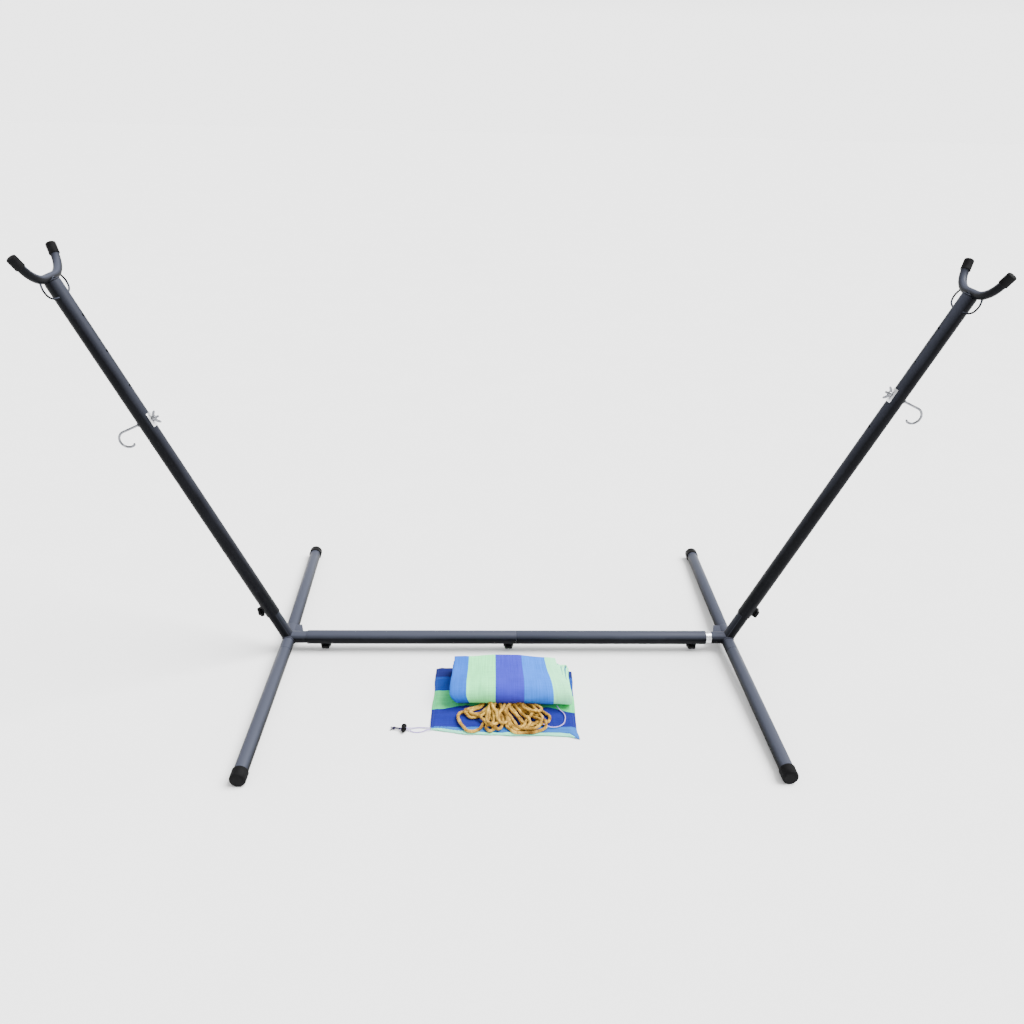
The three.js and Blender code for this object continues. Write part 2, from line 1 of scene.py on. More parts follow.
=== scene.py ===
# Looks of the hammock on stand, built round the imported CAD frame. Metres, +Z up.
# X runs along the beam, Y along the feet; the cloth lies on the -Y side.
import math

import bmesh
import bpy
import numpy as np
from mathutils import Matrix, Vector


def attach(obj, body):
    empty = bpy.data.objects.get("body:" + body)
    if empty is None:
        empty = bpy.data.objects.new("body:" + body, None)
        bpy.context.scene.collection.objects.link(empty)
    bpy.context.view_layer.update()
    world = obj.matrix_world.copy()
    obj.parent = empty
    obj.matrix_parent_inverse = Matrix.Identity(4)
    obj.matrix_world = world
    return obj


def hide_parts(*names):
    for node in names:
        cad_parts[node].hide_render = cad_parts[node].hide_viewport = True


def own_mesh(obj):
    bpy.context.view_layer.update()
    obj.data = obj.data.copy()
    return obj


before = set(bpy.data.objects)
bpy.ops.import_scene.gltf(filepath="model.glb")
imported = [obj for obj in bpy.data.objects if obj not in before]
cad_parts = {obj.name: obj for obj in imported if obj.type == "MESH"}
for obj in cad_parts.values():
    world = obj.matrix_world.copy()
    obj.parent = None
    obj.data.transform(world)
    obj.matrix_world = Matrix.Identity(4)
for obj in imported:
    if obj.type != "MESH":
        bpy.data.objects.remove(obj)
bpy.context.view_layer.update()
scene = bpy.context.scene
SIDES = {"left": -1, "right": 1}
ENDS = {"front": -1, "rear": 1}
MM = 0.001
FULL = 2 * math.pi
X_AXIS, Y_AXIS, Z_AXIS = np.eye(3)


def add_object(name, data):
    made = bpy.data.objects.new(name, data)
    scene.collection.objects.link(made)
    return made


def mesh_of(name, verts, faces):
    mesh = bpy.data.meshes.new(name)
    mesh.from_pydata([tuple(map(float, v)) for v in verts], [], [tuple(map(int, f)) for f in faces])
    return mesh


# ---------------------------------------------------------------- camera
def make_camera():
    pitch, yaw, roll = 0.45041, -0.04291, -0.02604
    right, forward, up = Matrix.Rotation(pitch, 3, "X") @ Matrix.Rotation(-yaw, 3, "Z")
    across = math.cos(roll) * right - math.sin(roll) * up
    above = math.sin(roll) * right + math.cos(roll) * up
    data = bpy.data.cameras.new("camera")
    data.sensor_width, data.lens = 36.0, 30.868
    data.shift_x, data.shift_y = 0.00171, -0.00723
    scene.camera = add_object("camera", data)
    axes = Matrix((across, above, -forward)).transposed().to_4x4()
    scene.camera.matrix_world = Matrix.Translation((-0.10872, -2.28387, 1.60989)) @ axes


make_camera()


# ---------------------------------------------------------------- material nodes
def fill_ramp(node, stops, interpolation="LINEAR"):
    """Sets the stops of a colour ramp, given as (position, colour)."""
    node.color_ramp.interpolation = interpolation
    elements = node.color_ramp.elements
    while len(elements) < len(stops):
        elements.new(0.5)
    for element, (position, colour) in zip(elements, stops):
        element.position = position
        element.color = (*colour, 1.0)


class Nodes:
    """A few words for building a material. Inputs take numbers, colours (tuples), vectors (lists) or outputs."""

    def __init__(self, name):
        self.material = bpy.data.materials.new(name)
        self.material.use_nodes = True
        self.tree = self.material.node_tree

    def feed(self, slot, value):
        if isinstance(value, (int, float, list)):
            slot.default_value = value
        elif isinstance(value, tuple):
            slot.default_value = (*value, 1.0)
        else:
            self.tree.links.new(value, slot)

    def add(self, kind, **values):
        node = self.tree.nodes.new("ShaderNode" + kind)
        for key, value in values.items():
            socket = key.replace("_", " ")
            if socket in node.inputs.keys():
                self.feed(node.inputs[socket], value)
            else:
                setattr(node, key, value)
        return node

    def place(self):
        return self.add("TexCoord").outputs["Object"]

    def split(self, vector):
        return self.add("SeparateXYZ", Vector=vector).outputs

    def noise(self, scale, detail=3.0, roughness=0.55, at=None):
        noise = self.add("TexNoise", Scale=scale, Detail=detail, Roughness=roughness, Vector=at or self.place())
        return noise.outputs["Fac"]

    def math(self, operation, *values, clamp=False):
        node = self.add("Math", operation=operation, use_clamp=clamp)
        for slot, value in zip(node.inputs, values):
            self.feed(slot, value)
        return node.outputs[0]

    def plus(self, a, b):
        return self.math("ADD", a, b)

    def minus(self, a, b):
        return self.math("SUBTRACT", a, b)

    def times(self, a, b):
        return self.math("MULTIPLY", a, b)

    def sine(self, value, period=FULL):
        return self.math("SINE", self.times(value, FULL / period))

    def ramp(self, value, stops, interpolation="LINEAR"):
        node = self.add("ValToRGB", Fac=value)
        fill_ramp(node, stops, interpolation)
        return node.outputs["Color"]

    def grey(self, value, low, high, start=0.0, end=1.0):
        """Maps start..end to low..high."""
        node = self.add("MapRange", Value=value, From_Min=start, From_Max=end, To_Min=low, To_Max=high)
        return node.outputs["Result"]

    def mix(self, factor, a, b, mode="MIX"):
        node = self.add("Mix", data_type="RGBA", blend_type=mode)
        for number, value in ((0, factor), (6, a), (7, b)):
            self.feed(node.inputs[number], value)
        return node.outputs[2]

    def shade(self, colour, value):
        """Multiplies a colour by a grey value."""
        grey = self.add("CombineColor")
        for slot in grey.inputs[:3]:
            self.feed(slot, value)
        return self.mix(1.0, colour, grey.outputs[0], "MULTIPLY")

    def bump(self, height, strength, distance, **more):
        return self.add("Bump", Strength=strength, Distance=distance, Height=height, **more).outputs["Normal"]

    def set(self, **values):
        for key, value in values.items():
            self.feed(self.tree.nodes["Principled BSDF"].inputs[key.replace("_", " ")], value)
        return self.material


def powder_coat(name="powder coat", bare_inside=None):
    """Charcoal coat with an orange-peel skin, and a painted top light: the coat is lighter where it faces up. Inside x
    = bare_inside the stub's zinc shows.
    """
    n = Nodes(name)
    mottle = n.noise(9.0, 4.0)
    peel = n.plus(n.noise(650.0, 2.0), n.times(n.noise(2600.0, 1.0), 0.4))
    base = n.mix(n.grey(mottle, 0.0, 1.0, 0.3, 0.7), (0.0022, 0.0024, 0.0032), (0.0040, 0.0044, 0.0058))
    base = n.mix(n.grey(n.noise(70.0, 6.0, 0.65), 0.0, 0.12, 0.62, 0.8), base, (0.06, 0.06, 0.07))
    # painted top light: the base colour turns lighter as the surface faces up, standing in for the overhead light
    facing = n.split(n.add("NewGeometry").outputs["Normal"])["Z"]
    painted_top_light = n.grey(n.plus(facing, n.times(mottle, 0.1)), 0.0, 1.0, 0.27, 0.86)
    base = n.mix(painted_top_light, base, (0.045, 0.049, 0.067))
    edge = n.grey(n.add("NewGeometry").outputs["Pointiness"], 0.0, 1.0, 0.54, 0.62)
    worn = n.math("MULTIPLY", edge, n.grey(n.noise(160.0, 5.0, 0.7), 0.0, 1.0, 0.5, 0.66), clamp=True)
    base = n.mix(n.times(worn, 0.4), base, (0.10, 0.10, 0.11))
    rough = n.grey(mottle, 0.34, 0.44, 0.3, 0.7)
    metal = 0.0
    if bare_inside:
        x = n.split(n.place())["X"]
        wavy = n.plus(x, n.times(n.noise(300.0), 0.002))
        metal = n.times(n.math("GREATER_THAN", x, 0.0), n.math("LESS_THAN", wavy, bare_inside + 0.001))
        base = n.mix(metal, base, (0.74, 0.75, 0.77))
        rough = n.minus(rough, n.times(metal, 0.14))
    return n.set(Base_Color=base, Roughness=rough, Metallic=metal, Specular_IOR_Level=0.04,
                 Normal=n.bump(peel, 0.10, 0.0004))


def zinc():
    n = Nodes("zinc plate")
    spangle = n.add("TexVoronoi", Scale=260.0, Vector=n.place()).outputs["Distance"]
    haze = n.noise(45.0, 5.0, 0.6)
    base = n.mix(n.grey(haze, 0.0, 1.0, 0.35, 0.7), (0.62, 0.63, 0.65), (0.80, 0.80, 0.79))
    rough = n.plus(n.grey(haze, 0.18, 0.34), n.times(spangle, 0.06))
    return n.set(Base_Color=base, Metallic=1.0, Roughness=rough, Normal=n.bump(haze, 0.06, 0.0003))


def plain(name, marks, spread, dark, light, rough, grain, bump, **more):
    """A surface whose colour and roughness follow one noise, with another as its grain."""
    n = Nodes(name)
    marks = n.noise(*marks)
    base = n.mix(n.grey(marks, *spread), dark, light)
    return n.set(Base_Color=base, Roughness=n.grey(marks, *rough), Normal=n.bump(n.noise(*grain), *bump), **more)


def black_plastic():
    return plain("black plastic", (120.0, 6.0, 0.7), (0.0, 0.5, 0.6, 0.8), (0.0025, 0.0025, 0.003), (0.014, 0.014, 0.015),
                 (0.35, 0.5), (2400.0, 1.0), (0.12, 0.0002), Specular_IOR_Level=0.08)


MATERIALS = {
    "powder_coat": powder_coat(),
    "bracket": powder_coat("powder coat of the brackets", 0.630),
    "black_rubber": plain("black rubber", (40.0, 5.0, 0.6), (0.0, 1.0, 0.35, 0.75), (0.0025, 0.0025, 0.0028),
                          (0.007, 0.007, 0.0075), (0.55, 0.75), (1800.0, 2.0), (0.15, 0.0003), Specular_IOR_Level=0.05),
    "knob_plastic": black_plastic(),
    "lock_plastic": black_plastic(),
    "zinc": zinc(),
    "chrome": plain("chrome", (60.0, 5.0, 0.6), (0.0, 1.0, 0.4, 0.7), (0.13, 0.135, 0.150), (0.24, 0.245, 0.260),
                    (0.12, 0.28), (900.0, 2.0), (0.03, 0.0001), Metallic=1.0),
}


# ---------------------------------------------------------------- making pieces
def unit(v):
    v = np.asarray(v, float)
    return v / np.linalg.norm(v)


def enlist(piece, body, replaces=()):
    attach(piece, body)
    if replaces:
        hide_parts(*replaces)
    return piece


def new_piece(name, shape, body, slot, replaces=()):
    mesh = mesh_of(name, *shape)
    mesh.validate()
    finish_mesh(mesh)
    mesh.materials.append(MATERIALS[slot])
    return enlist(add_object(name, mesh), body, replaces)


def finish_mesh(mesh):
    work = bmesh.new()
    work.from_mesh(mesh)
    bmesh.ops.remove_doubles(work, verts=work.verts, dist=2e-7)
    bmesh.ops.recalc_face_normals(work, faces=work.faces)
    work.to_mesh(mesh)
    work.free()
    mesh.shade_smooth()
    mesh.set_sharp_from_angle(angle=math.radians(35))


def boolean(piece, parts, operation):
    """Adds or cuts closed shapes, given as (verts, faces), and keeps the result as the mesh."""
    tools = []
    for shape in parts:
        mesh = mesh_of("tool", *shape)
        finish_mesh(mesh)
        tools.append(add_object("tool", mesh))
        modifier = piece.modifiers.new("cut", "BOOLEAN")
        modifier.object, modifier.operation, modifier.solver = tools[-1], operation, "EXACT"
    bpy.context.view_layer.update()
    made = bpy.data.meshes.new_from_object(piece.evaluated_get(bpy.context.evaluated_depsgraph_get()))
    piece.modifiers.clear()
    old, piece.data = piece.data, made
    made.name = piece.name
    bpy.data.meshes.remove(old)
    for tool in tools:
        bpy.data.objects.remove(tool)
    finish_mesh(made)
    return piece


def stand_piece(name, shape, replaces=(), holes=(), slot="powder_coat"):
    piece = new_piece(name, shape, "stand_frame", slot, replaces)
    return boolean(piece, holes, "DIFFERENCE") if holes else piece


def frame_along(direction):
    direction = unit(direction)
    helper = Z_AXIS if abs(direction[2]) < 0.9 else X_AXIS
    side = unit(np.cross(helper, direction))
    return side, np.cross(direction, side), direction


def revolve(profile, start, way, sides=64, lobes=None):
    """Turns (radius, height) pairs about the line from start along way. Radii of 0 close on the axis."""
    a, b, c = frame_along(way)
    verts, rings = [], []
    for r, h in profile:
        middle = np.asarray(start, float) + c * h
        count = sides if r > 1e-7 else 1
        rings.append(range(len(verts), len(verts) + count))
        for t in [FULL * i / sides for i in range(count)]:
            out = lobes(r, h, t) if lobes else r
            verts.append(middle + out * (math.cos(t) * a + math.sin(t) * b))
    faces = []
    for low, high in zip(rings, rings[1:]):
        for i in range(sides):
            j = (i + 1) % sides
            corners = dict.fromkeys([low[i % len(low)], low[j % len(low)], high[j % len(high)], high[i % len(high)]])
            if len(corners) > 2:
                faces.append(list(corners))
    return verts, faces


def lengths(line):
    """How far along the line each of its points is."""
    return np.concatenate([[0], np.cumsum(np.linalg.norm(np.diff(line, axis=0), axis=1))])


def resample(line, steps):
    along = lengths(line)
    even = np.linspace(0, along[-1], steps + 1)
    return np.stack([np.interp(even, along, line[:, k]) for k in range(3)], 1)


def smooth_line(points, steps):
    """A Catmull-Rom curve through the points, resampled at even spacing."""
    p = np.asarray(points, float)
    p = np.vstack([2 * p[0] - p[1], p, 2 * p[-1] - p[-2]])
    fine = []
    for a, b, c, d in zip(p, p[1:], p[2:], p[3:]):
        for t in np.linspace(0, 1, 24, endpoint=False):
            fine.append(0.5 * ((2 * b) + (c - a) * t + (2 * a - 5 * b + 4 * c - d) * t ** 2
                               + (3 * b - a - 3 * c + d) * t ** 3))
    return resample(np.array([*fine, p[-2]]), steps)


def rings_along(line, radii, closed=False):
    """Untwisted rings round a line. radii has a row for each point and a column for each side."""
    ahead = np.roll(line, -1, 0) - np.roll(line, 1, 0)
    if not closed:
        ahead[0], ahead[-1] = line[1] - line[0], line[-1] - line[-2]
    ahead /= np.linalg.norm(ahead, axis=1)[:, None]
    side = frame_along(ahead[0])[0]
    t = np.linspace(0, FULL, radii.shape[1], endpoint=False)[:, None]
    rings = []
    for point, way, r in zip(line, ahead, radii):
        side = unit(side - way * np.dot(side, way))
        rings.append(point + r[:, None] * (np.cos(t) * side + np.sin(t) * np.cross(way, side)))
    return np.array(rings)


def tube_faces(rows, cols, closed=False):
    pairs = [(i, (i + 1) % rows) for i in range(rows if closed else rows - 1)]
    return [[i * cols + k, i * cols + (k + 1) % cols, j * cols + (k + 1) % cols, j * cols + k]
            for i, j in pairs for k in range(cols)]


def sweep(line, radius, sides=24, closed=False):
    """A tube along a line. radius is a number or one number for each point."""
    line = np.asarray(line, float)
    rings = rings_along(line, np.ones((len(line), sides)) * np.reshape(radius, (-1, 1)), closed)
    verts, faces = list(rings.reshape(-1, 3)), tube_faces(len(line), sides, closed)
    for end in () if closed else (0, len(line) - 1):
        faces += [[end * sides + k, end * sides + (k + 1) % sides, len(verts)] for k in range(sides)]
        verts.append(line[end])
    return verts, faces


def both(*parts):
    verts, faces = [], []
    for v, f in parts:
        faces += [[k + len(verts) for k in face] for face in f]
        verts += list(v)
    return verts, faces


def rod(a, b, radius, sides=32):
    h = np.linalg.norm(b - a)
    return revolve([(0, 0), (radius, 0), (radius, h), (0, h)], a, b - a, sides)


def rounded_tube(a, b, radius, bore, lip=0.0005):
    h = np.linalg.norm(b - a)
    edge = [(bore + lip, 0), (radius - lip, 0), (radius - lip * 0.3, lip * 0.3), (radius, lip)]
    profile = [(bore, lip), *edge, *[(r, h - z) for r, z in reversed(edge)], (bore, h - lip), (bore, lip)]
    return revolve(profile, a, b - a, 72)


def prism(outline, low, high, place=lambda a, b, c: (a, b, c)):
    """A solid over an outline of (a, b), from c = low to high."""
    n = len(outline)
    verts = [place(a, b, c) for c in (low, high) for a, b in outline]
    walls = [[i, (i + 1) % n, n + (i + 1) % n, n + i] for i in range(n)]
    return verts, [list(range(n)), list(range(n, 2 * n)), *walls]


def bead(line, size, seed):
    """A rippled weld bead along a closed line."""
    ripple = np.random.RandomState(seed).uniform(0.85, 1.15, len(line))
    return sweep(line, size * ripple, 10, closed=True)


# ---------------------------------------------------------------- stand: where things are
SLEEVE_R, SLEEVE_BORE = 0.021, 0.019
STUB_R, STUB_BORE = 0.0186, 0.0164
FOOT_R, FOOT_BORE = 0.019, 0.017
SPIGOT_R, SPIGOT_BORE = 0.0166, 0.0146
YOKE_R = 0.011
GAP = 0.0003
ARM_TOP = 1.194
HOOK_HOLES = [1.087 - 0.104 * k for k in range(4)]
HOOK_UP = {"left": HOOK_HOLES[3], "right": HOOK_HOLES[2]}
LEAN = math.radians(65)
CORNER = {s: np.array([SIDES[s] * 0.684, 0.0, 0.045]) for s in SIDES}
HUB = {s: np.array([SIDES[s] * 0.684, 0.0, 0.037]) for s in SIDES}
ARM_UP = {s: np.array([SIDES[s] * math.cos(LEAN), 0, math.sin(LEAN)]) for s in SIDES}
ARM_OUT = {s: np.array([SIDES[s] * math.sin(LEAN), 0, -math.cos(LEAN)]) for s in SIDES}
FOOT_END = {(e, s): np.array([SIDES[s] * 0.700, ENDS[e] * 0.595, 0.0205]) for e in ENDS for s in SIDES}
FOOT_WAY = {(e, s): unit(FOOT_END[e, s] - HUB[s]) for e in ENDS for s in SIDES}


def on_arm(side, up, out=0.0, y=0.0):
    return CORNER[side] + ARM_UP[side] * up + ARM_OUT[side] * out + Y_AXIS * y


def on_foot(end, side, along):
    return HUB[side] + FOOT_WAY[end, side] * along


def on_beam(x):
    return np.array([x, 0.0, 0.045])


CLAMPS = {f"beam_{name}": (on_beam(x), -Z_AXIS) for name, x in (("left", -0.573), ("centre", -0.005), ("right", 0.573))}
CLAMPS.update({f"arm_{side}": (on_arm(side, 0.116), ARM_OUT[side]) for side in SIDES})


def stud_hole(clamp):
    at, way = CLAMPS[clamp]
    return rod(at + way * 0.006, at + way * 0.030, 0.0045, 24)


def button_hole(end, side):
    at, along = on_foot(end, side, 0.100), FOOT_WAY[end, side]
    out = X_AXIS * SIDES[side]
    return rod(at, at + unit(out - along * (out @ along)) * 0.03, 0.0046, 24)


# ---------------------------------------------------------------- stand: tubes and brackets
def make_tubes():
    for side, start, last, clamps in (("left", -0.626, 0.01785, ["beam_left", "beam_centre"]),
                                      ("right", 0.01815, 0.613, ["beam_right"])):
        tube = rounded_tube(on_beam(start), on_beam(last), SLEEVE_R, SLEEVE_BORE)
        stand_piece(f"beam_{side}", tube, [f"beam_tube_{side}"], [stud_hole(clamp) for clamp in clamps])
    for side in SIDES:
        holes = [rod(on_arm(side, up, -0.03), on_arm(side, up, 0.03), 0.0044, 24) for up in HOOK_HOLES]
        tube = rounded_tube(on_arm(side, 0.095), on_arm(side, ARM_TOP - 0.004 - GAP), SLEEVE_R, SLEEVE_BORE)
        stand_piece(f"arm_{side}", tube, [f"arm_tube_{side}"], [stud_hole(f"arm_{side}"), *holes])
        for end in ENDS:
            last = FOOT_END[end, side] - FOOT_WAY[end, side] * (0.004 + GAP)
            tube = rounded_tube(on_foot(end, side, 0.064 + GAP), last, FOOT_R, FOOT_BORE)
            stand_piece(f"foot_{end}_{side}", tube, [f"foot_tube_{end}_{side}"], [button_hole(end, side)])


def stub_weld(side, way, size, seed):
    """The bead where a bracket's stub meets its cross tube, found by halving."""
    def off_foot(p):
        along, rel = FOOT_WAY["front" if p[1] <= 0 else "rear", side], p - HUB[side]
        return np.linalg.norm(rel - along * (rel @ along))

    a, b, c = frame_along(way)
    line = []
    for t in [FULL * i / 96 for i in range(96)]:
        ring = CORNER[side] + STUB_R * (math.cos(t) * a + math.sin(t) * b)
        near, far = 0.0, 0.06
        for _ in range(24):
            mid = (near + far) / 2
            near, far = (mid, far) if off_foot(ring + c * mid) < FOOT_R else (near, mid)
        line.append(ring + c * near)
    return bead(line, size, seed)


def make_brackets():
    for side, s in SIDES.items():
        def on_foot_rod(end, start, last, radius, sides):
            return rod(on_foot(end, side, start), on_foot(end, side, last), radius, sides)

        web = [(s * (0.684 - x), y) for x, y in
               ((0.010, 0.006), (0.010, 0.061), (0.030, 0.061), (0.041, 0.022), (0.041, 0.006))]
        piece = stand_piece(f"bracket_{side}", on_foot_rod("front", -0.008, 0.064, FOOT_R, 72), [f"corner_bracket_{side}"])
        boolean(piece, [
            on_foot_rod("rear", -0.008, 0.064, FOOT_R, 72),
            on_foot_rod("front", 0, 0.145, SPIGOT_R, 64),
            on_foot_rod("rear", 0, 0.145, SPIGOT_R, 64),
            rod(CORNER[side], on_beam(s * 0.530), STUB_R, 72),
            rod(CORNER[side], on_arm(side, 0.215), STUB_R, 72),
            prism(web, 0.044, 0.050),
        ], "UNION")
        cuts = [
            rod(on_beam(s * 0.654), on_beam(s * 0.525), STUB_BORE, 48),
            rod(on_arm(side, 0.032), on_arm(side, 0.220), STUB_BORE, 48),
            stud_hole(f"beam_{side}"),
            stud_hole(f"arm_{side}"),
        ]
        for end in ENDS:
            cuts += [on_foot_rod(end, -0.008, 0.150, SPIGOT_BORE, 48), button_hole(end, side)]
        boolean(piece, cuts, "DIFFERENCE")
        piece.data.materials.clear()
        piece.data.materials.append(MATERIALS["bracket"])
        beads = both(stub_weld(side, ARM_UP[side], 0.0023, 3), stub_weld(side, -s * X_AXIS, 0.0021, 5))
        stand_piece(f"bracket_welds_{side}", beads)


# ---------------------------------------------------------------- stand: caps, knobs, bolts
def cap_profile(r, long, wall, inner, lip, edge, rim):
    """A closed end with a rounded edge, and a raised rim at the open end."""
    return [(0, 0), *[(r - cut, h) for cut, h in edge], (r, long - rim[0]), (r + 0.0003, long - rim[1]),
            (r + 0.0003, long - rim[2]), (r - 0.0004, long), (inner + lip, long), (inner, long - 0.0004), (inner, wall),
            (0, wall)]


FOOT_CAP = cap_profile(0.0214, 0.033, 0.004, FOOT_R + GAP + 0.0001, 0.0003,
                       [(0.0075, 0.0), (0.0038, 0.0004), (0.0018, 0.0013), (0.0006, 0.0030), (0, 0.0055)],
                       (0.0042, 0.0036, 0.0012))
YOKE_WALL = 0.0035
YOKE_CAP = cap_profile(0.0132, 0.032, YOKE_WALL, YOKE_R + GAP, 0.0002,
                       [(0.0052, 0.0), (0.0026, 0.0004), (0.0010, 0.0014), (0.0002, 0.0030), (0, 0.0045)],
                       (0.0036, 0.0030, 0.0010))


def make_foot_caps():
    """The floor cuts a flat on each cap."""
    for (end, side), tip in FOOT_END.items():
        under = [(tip[0] + a, tip[1] + b) for a, b in ((-0.06, -0.06), (0.06, -0.06), (0.06, 0.06), (-0.06, 0.06))]
        stand_piece(f"moulded_foot_cap_{end}_{side}", revolve(FOOT_CAP, tip, -FOOT_WAY[end, side], 64),
                    [f"foot_cap_{end}_{side}"], [prism(under, -0.04, 0.0)], "black_rubber")


def knob_lobes(r, h, t):
    share = min(1.0, max(0.0, (r - 0.0075) / 0.005))
    wave = math.cos(5 * t)
    return r + share * (0.0012 * wave - 0.0006 * (1 - wave) * 0.5)


def make_knobs():
    base = SLEEVE_R + 0.0006
    head, r = base + 0.0036, 0.0152
    top = head + 0.010
    profile = [
        (0, base), (0.0078, base), (0.0085, base + 0.0006), (0.0085, head - 0.0006), (0.0092, head),
        (r - 0.0024, head), (r - 0.0008, head + 0.0005), (r, head + 0.0018), (r, top - 0.0024),
        (r - 0.0007, top - 0.0009), (r - 0.0022, top - 0.0002), (r - 0.0042, top), (0.0088, top - 0.0002),
        (0.0078, top - 0.0009), (0.0068, top - 0.0009), (0.0060, top), (0.0052, base + 0.0163),
        (0.0040, base + 0.0173), (0, base + 0.0175),
    ]
    for name, (at, way) in CLAMPS.items():
        piece = new_piece(f"lobed_knob_{name}", revolve(profile, at, way, 120, knob_lobes), f"knob_{name}", "knob_plastic",
                          [f"knob_{name}"])
        boolean(piece, [rod(at + way * (base - 0.002), at + way * (base + 0.0093), 0.0042)], "DIFFERENCE")


def threaded(start, way, radius, length):
    pitch, depth, sides = 0.00125, 0.00055, 24
    a, b, c = frame_along(way)
    steps = int(length / pitch * 8)
    verts = []
    for i in range(steps + 1):
        h = length * i / steps
        fade = min(1.0, h / 0.001, (length - h) / 0.001)
        for k in range(sides):
            wave = abs(((h / pitch - k / sides) % 1.0) - 0.5) * 2
            r = radius - depth * (1 - wave) - 0.0003 * (1 - fade)
            verts.append(start + c * h + r * (math.cos(FULL * k / sides) * a + math.sin(FULL * k / sides) * b))
    ends = [list(range(sides)), list(range(steps * sides, (steps + 1) * sides))]
    return verts, tube_faces(steps + 1, sides) + ends


def make_hooks():
    wire, seat = 0.0033, SLEEVE_R + GAP
    collar = [(0, seat), (0.0060, seat), (0.0066, seat + 0.0006), (0.0066, seat + 0.0031), (0.0058, seat + 0.0037),
              (0, seat + 0.0037)]
    for side, up in HOOK_UP.items():
        points = [on_arm(side, up, out) for out in (-0.022, -0.01, 0.0, 0.02, 0.04, 0.058)]
        centre = on_arm(side, up - 0.023, 0.073)
        for k in range(17):
            t = math.radians(90 - 180 * k / 16)
            points.append(centre + 0.023 * (math.cos(t) * ARM_OUT[side] + math.sin(t) * ARM_UP[side]))
        points += [on_arm(side, up - 0.045, 0.067), on_arm(side, up - 0.041, 0.063)]
        line = smooth_line(points, 120)
        taper = np.full(len(line), wire)
        taper[-3:] = wire * np.array([0.97, 0.88, 0.62])
        bolt = both(sweep(line, taper, 32), threaded(on_arm(side, up, -0.041), ARM_OUT[side], wire, 0.0192),
                    revolve(collar, on_arm(side, up), ARM_OUT[side], 6))
        new_piece(f"hook_{side}_bolt", bolt, f"hook_{side}", "chrome", [f"hook_bolt_{side}"])
        make_wing_nut(side, up)


def curved(points, steps=10):
    """Quadratic curves chained: first point, then pairs of control and end."""
    out = [np.array(points[0], float)]
    for control, end in zip(points[1::2], points[2::2]):
        a, b, c = out[-1], np.array(control, float), np.array(end, float)
        out += [(1 - t) ** 2 * a + 2 * t * (1 - t) * b + t * t * c for t in np.linspace(0, 1, steps + 1)[1:]]
    return out


def make_wing_nut(side, up):
    seat, tall, hub, span, rise, half = 0.0236, 0.009, 0.0075, 0.019, 0.017, 0.0017
    at, inward = on_arm(side, up), -ARM_OUT[side]
    outline = curved([
        (-hub + 0.002, seat + 0.0006), (-span + 0.002, seat + 0.005), (-span, seat + rise - 0.003),
        (-span + 0.003, seat + rise + 0.001), (-span + 0.008, seat + rise - 0.005), (0, seat + 0.003),
        (span - 0.008, seat + rise - 0.005), (span - 0.003, seat + rise + 0.001), (span, seat + rise - 0.003),
        (span - 0.002, seat + 0.005), (hub - 0.002, seat + 0.0006)])
    mesh = mesh_of("wings", *prism(outline, -half, half, lambda x, h, y: at + ARM_UP[side] * x + inward * h + Y_AXIS * y))
    work = bmesh.new()
    work.from_mesh(mesh)
    bmesh.ops.recalc_face_normals(work, faces=work.faces)
    rims = [e for e in work.edges if len({v.index < len(outline) for v in e.verts}) == 1]
    bmesh.ops.bevel(work, geom=rims, offset=0.0009, segments=3, profile=0.5, affect="EDGES")
    work.to_mesh(mesh)
    work.free()
    wings = [tuple(v.co) for v in mesh.vertices], [list(p.vertices) for p in mesh.polygons]
    bpy.data.meshes.remove(mesh)
    middle = revolve([
        (0, seat), (hub - 0.0005, seat), (hub, seat + 0.0005), (hub - 0.0016, seat + tall - 0.0008),
        (hub - 0.0024, seat + tall), (0, seat + tall)], at, inward, 48)
    piece = new_piece(f"forged_wing_nut_{side}", middle, f"wing_nut_{side}", "chrome", [f"wing_nut_{side}"])
    boolean(piece, [wings], "UNION")
    boolean(piece, [rod(at + inward * (seat - 0.003), at + inward * (seat + 0.03), 0.0036)], "DIFFERENCE")


# ---------------------------------------------------------------- stand: yokes
def yoke_line(side, extra=0.0):
    """The yoke's centre line from tip to tip, and the way its rear prong points."""
    flat, bend, turn, prong = 0.024, 0.078, 66, 0.027
    up = ARM_UP[side]
    bottom = on_arm(side, ARM_TOP + 0.007)
    half = [bottom + Y_AXIS * flat * k / 4 for k in range(1, 4)]
    centre = bottom + up * bend + Y_AXIS * flat
    for k in range(29):
        t = math.radians(-90 + turn * k / 28)
        half.append(centre + bend * (math.cos(t) * Y_AXIS + math.sin(t) * up))
    way = math.cos(math.radians(turn)) * Y_AXIS + math.sin(math.radians(turn)) * up
    last = half[-1]
    half += [last + way * prong * k / 4 for k in range(1, 5)]
    if extra:
        half.append(half[-1] + way * extra)
    return [p * (1, -1, 1) for p in reversed(half)] + [bottom] + half, way


def eye_is_outside(p, side, centre_line):
    rel = p - on_arm(side, 0)
    from_arm = np.linalg.norm(rel - ARM_UP[side] * (rel @ ARM_UP[side]))
    from_yoke = np.linalg.norm(centre_line - p, axis=1).min()
    return from_arm > SLEEVE_R - 0.0006 and from_yoke > 0.0104


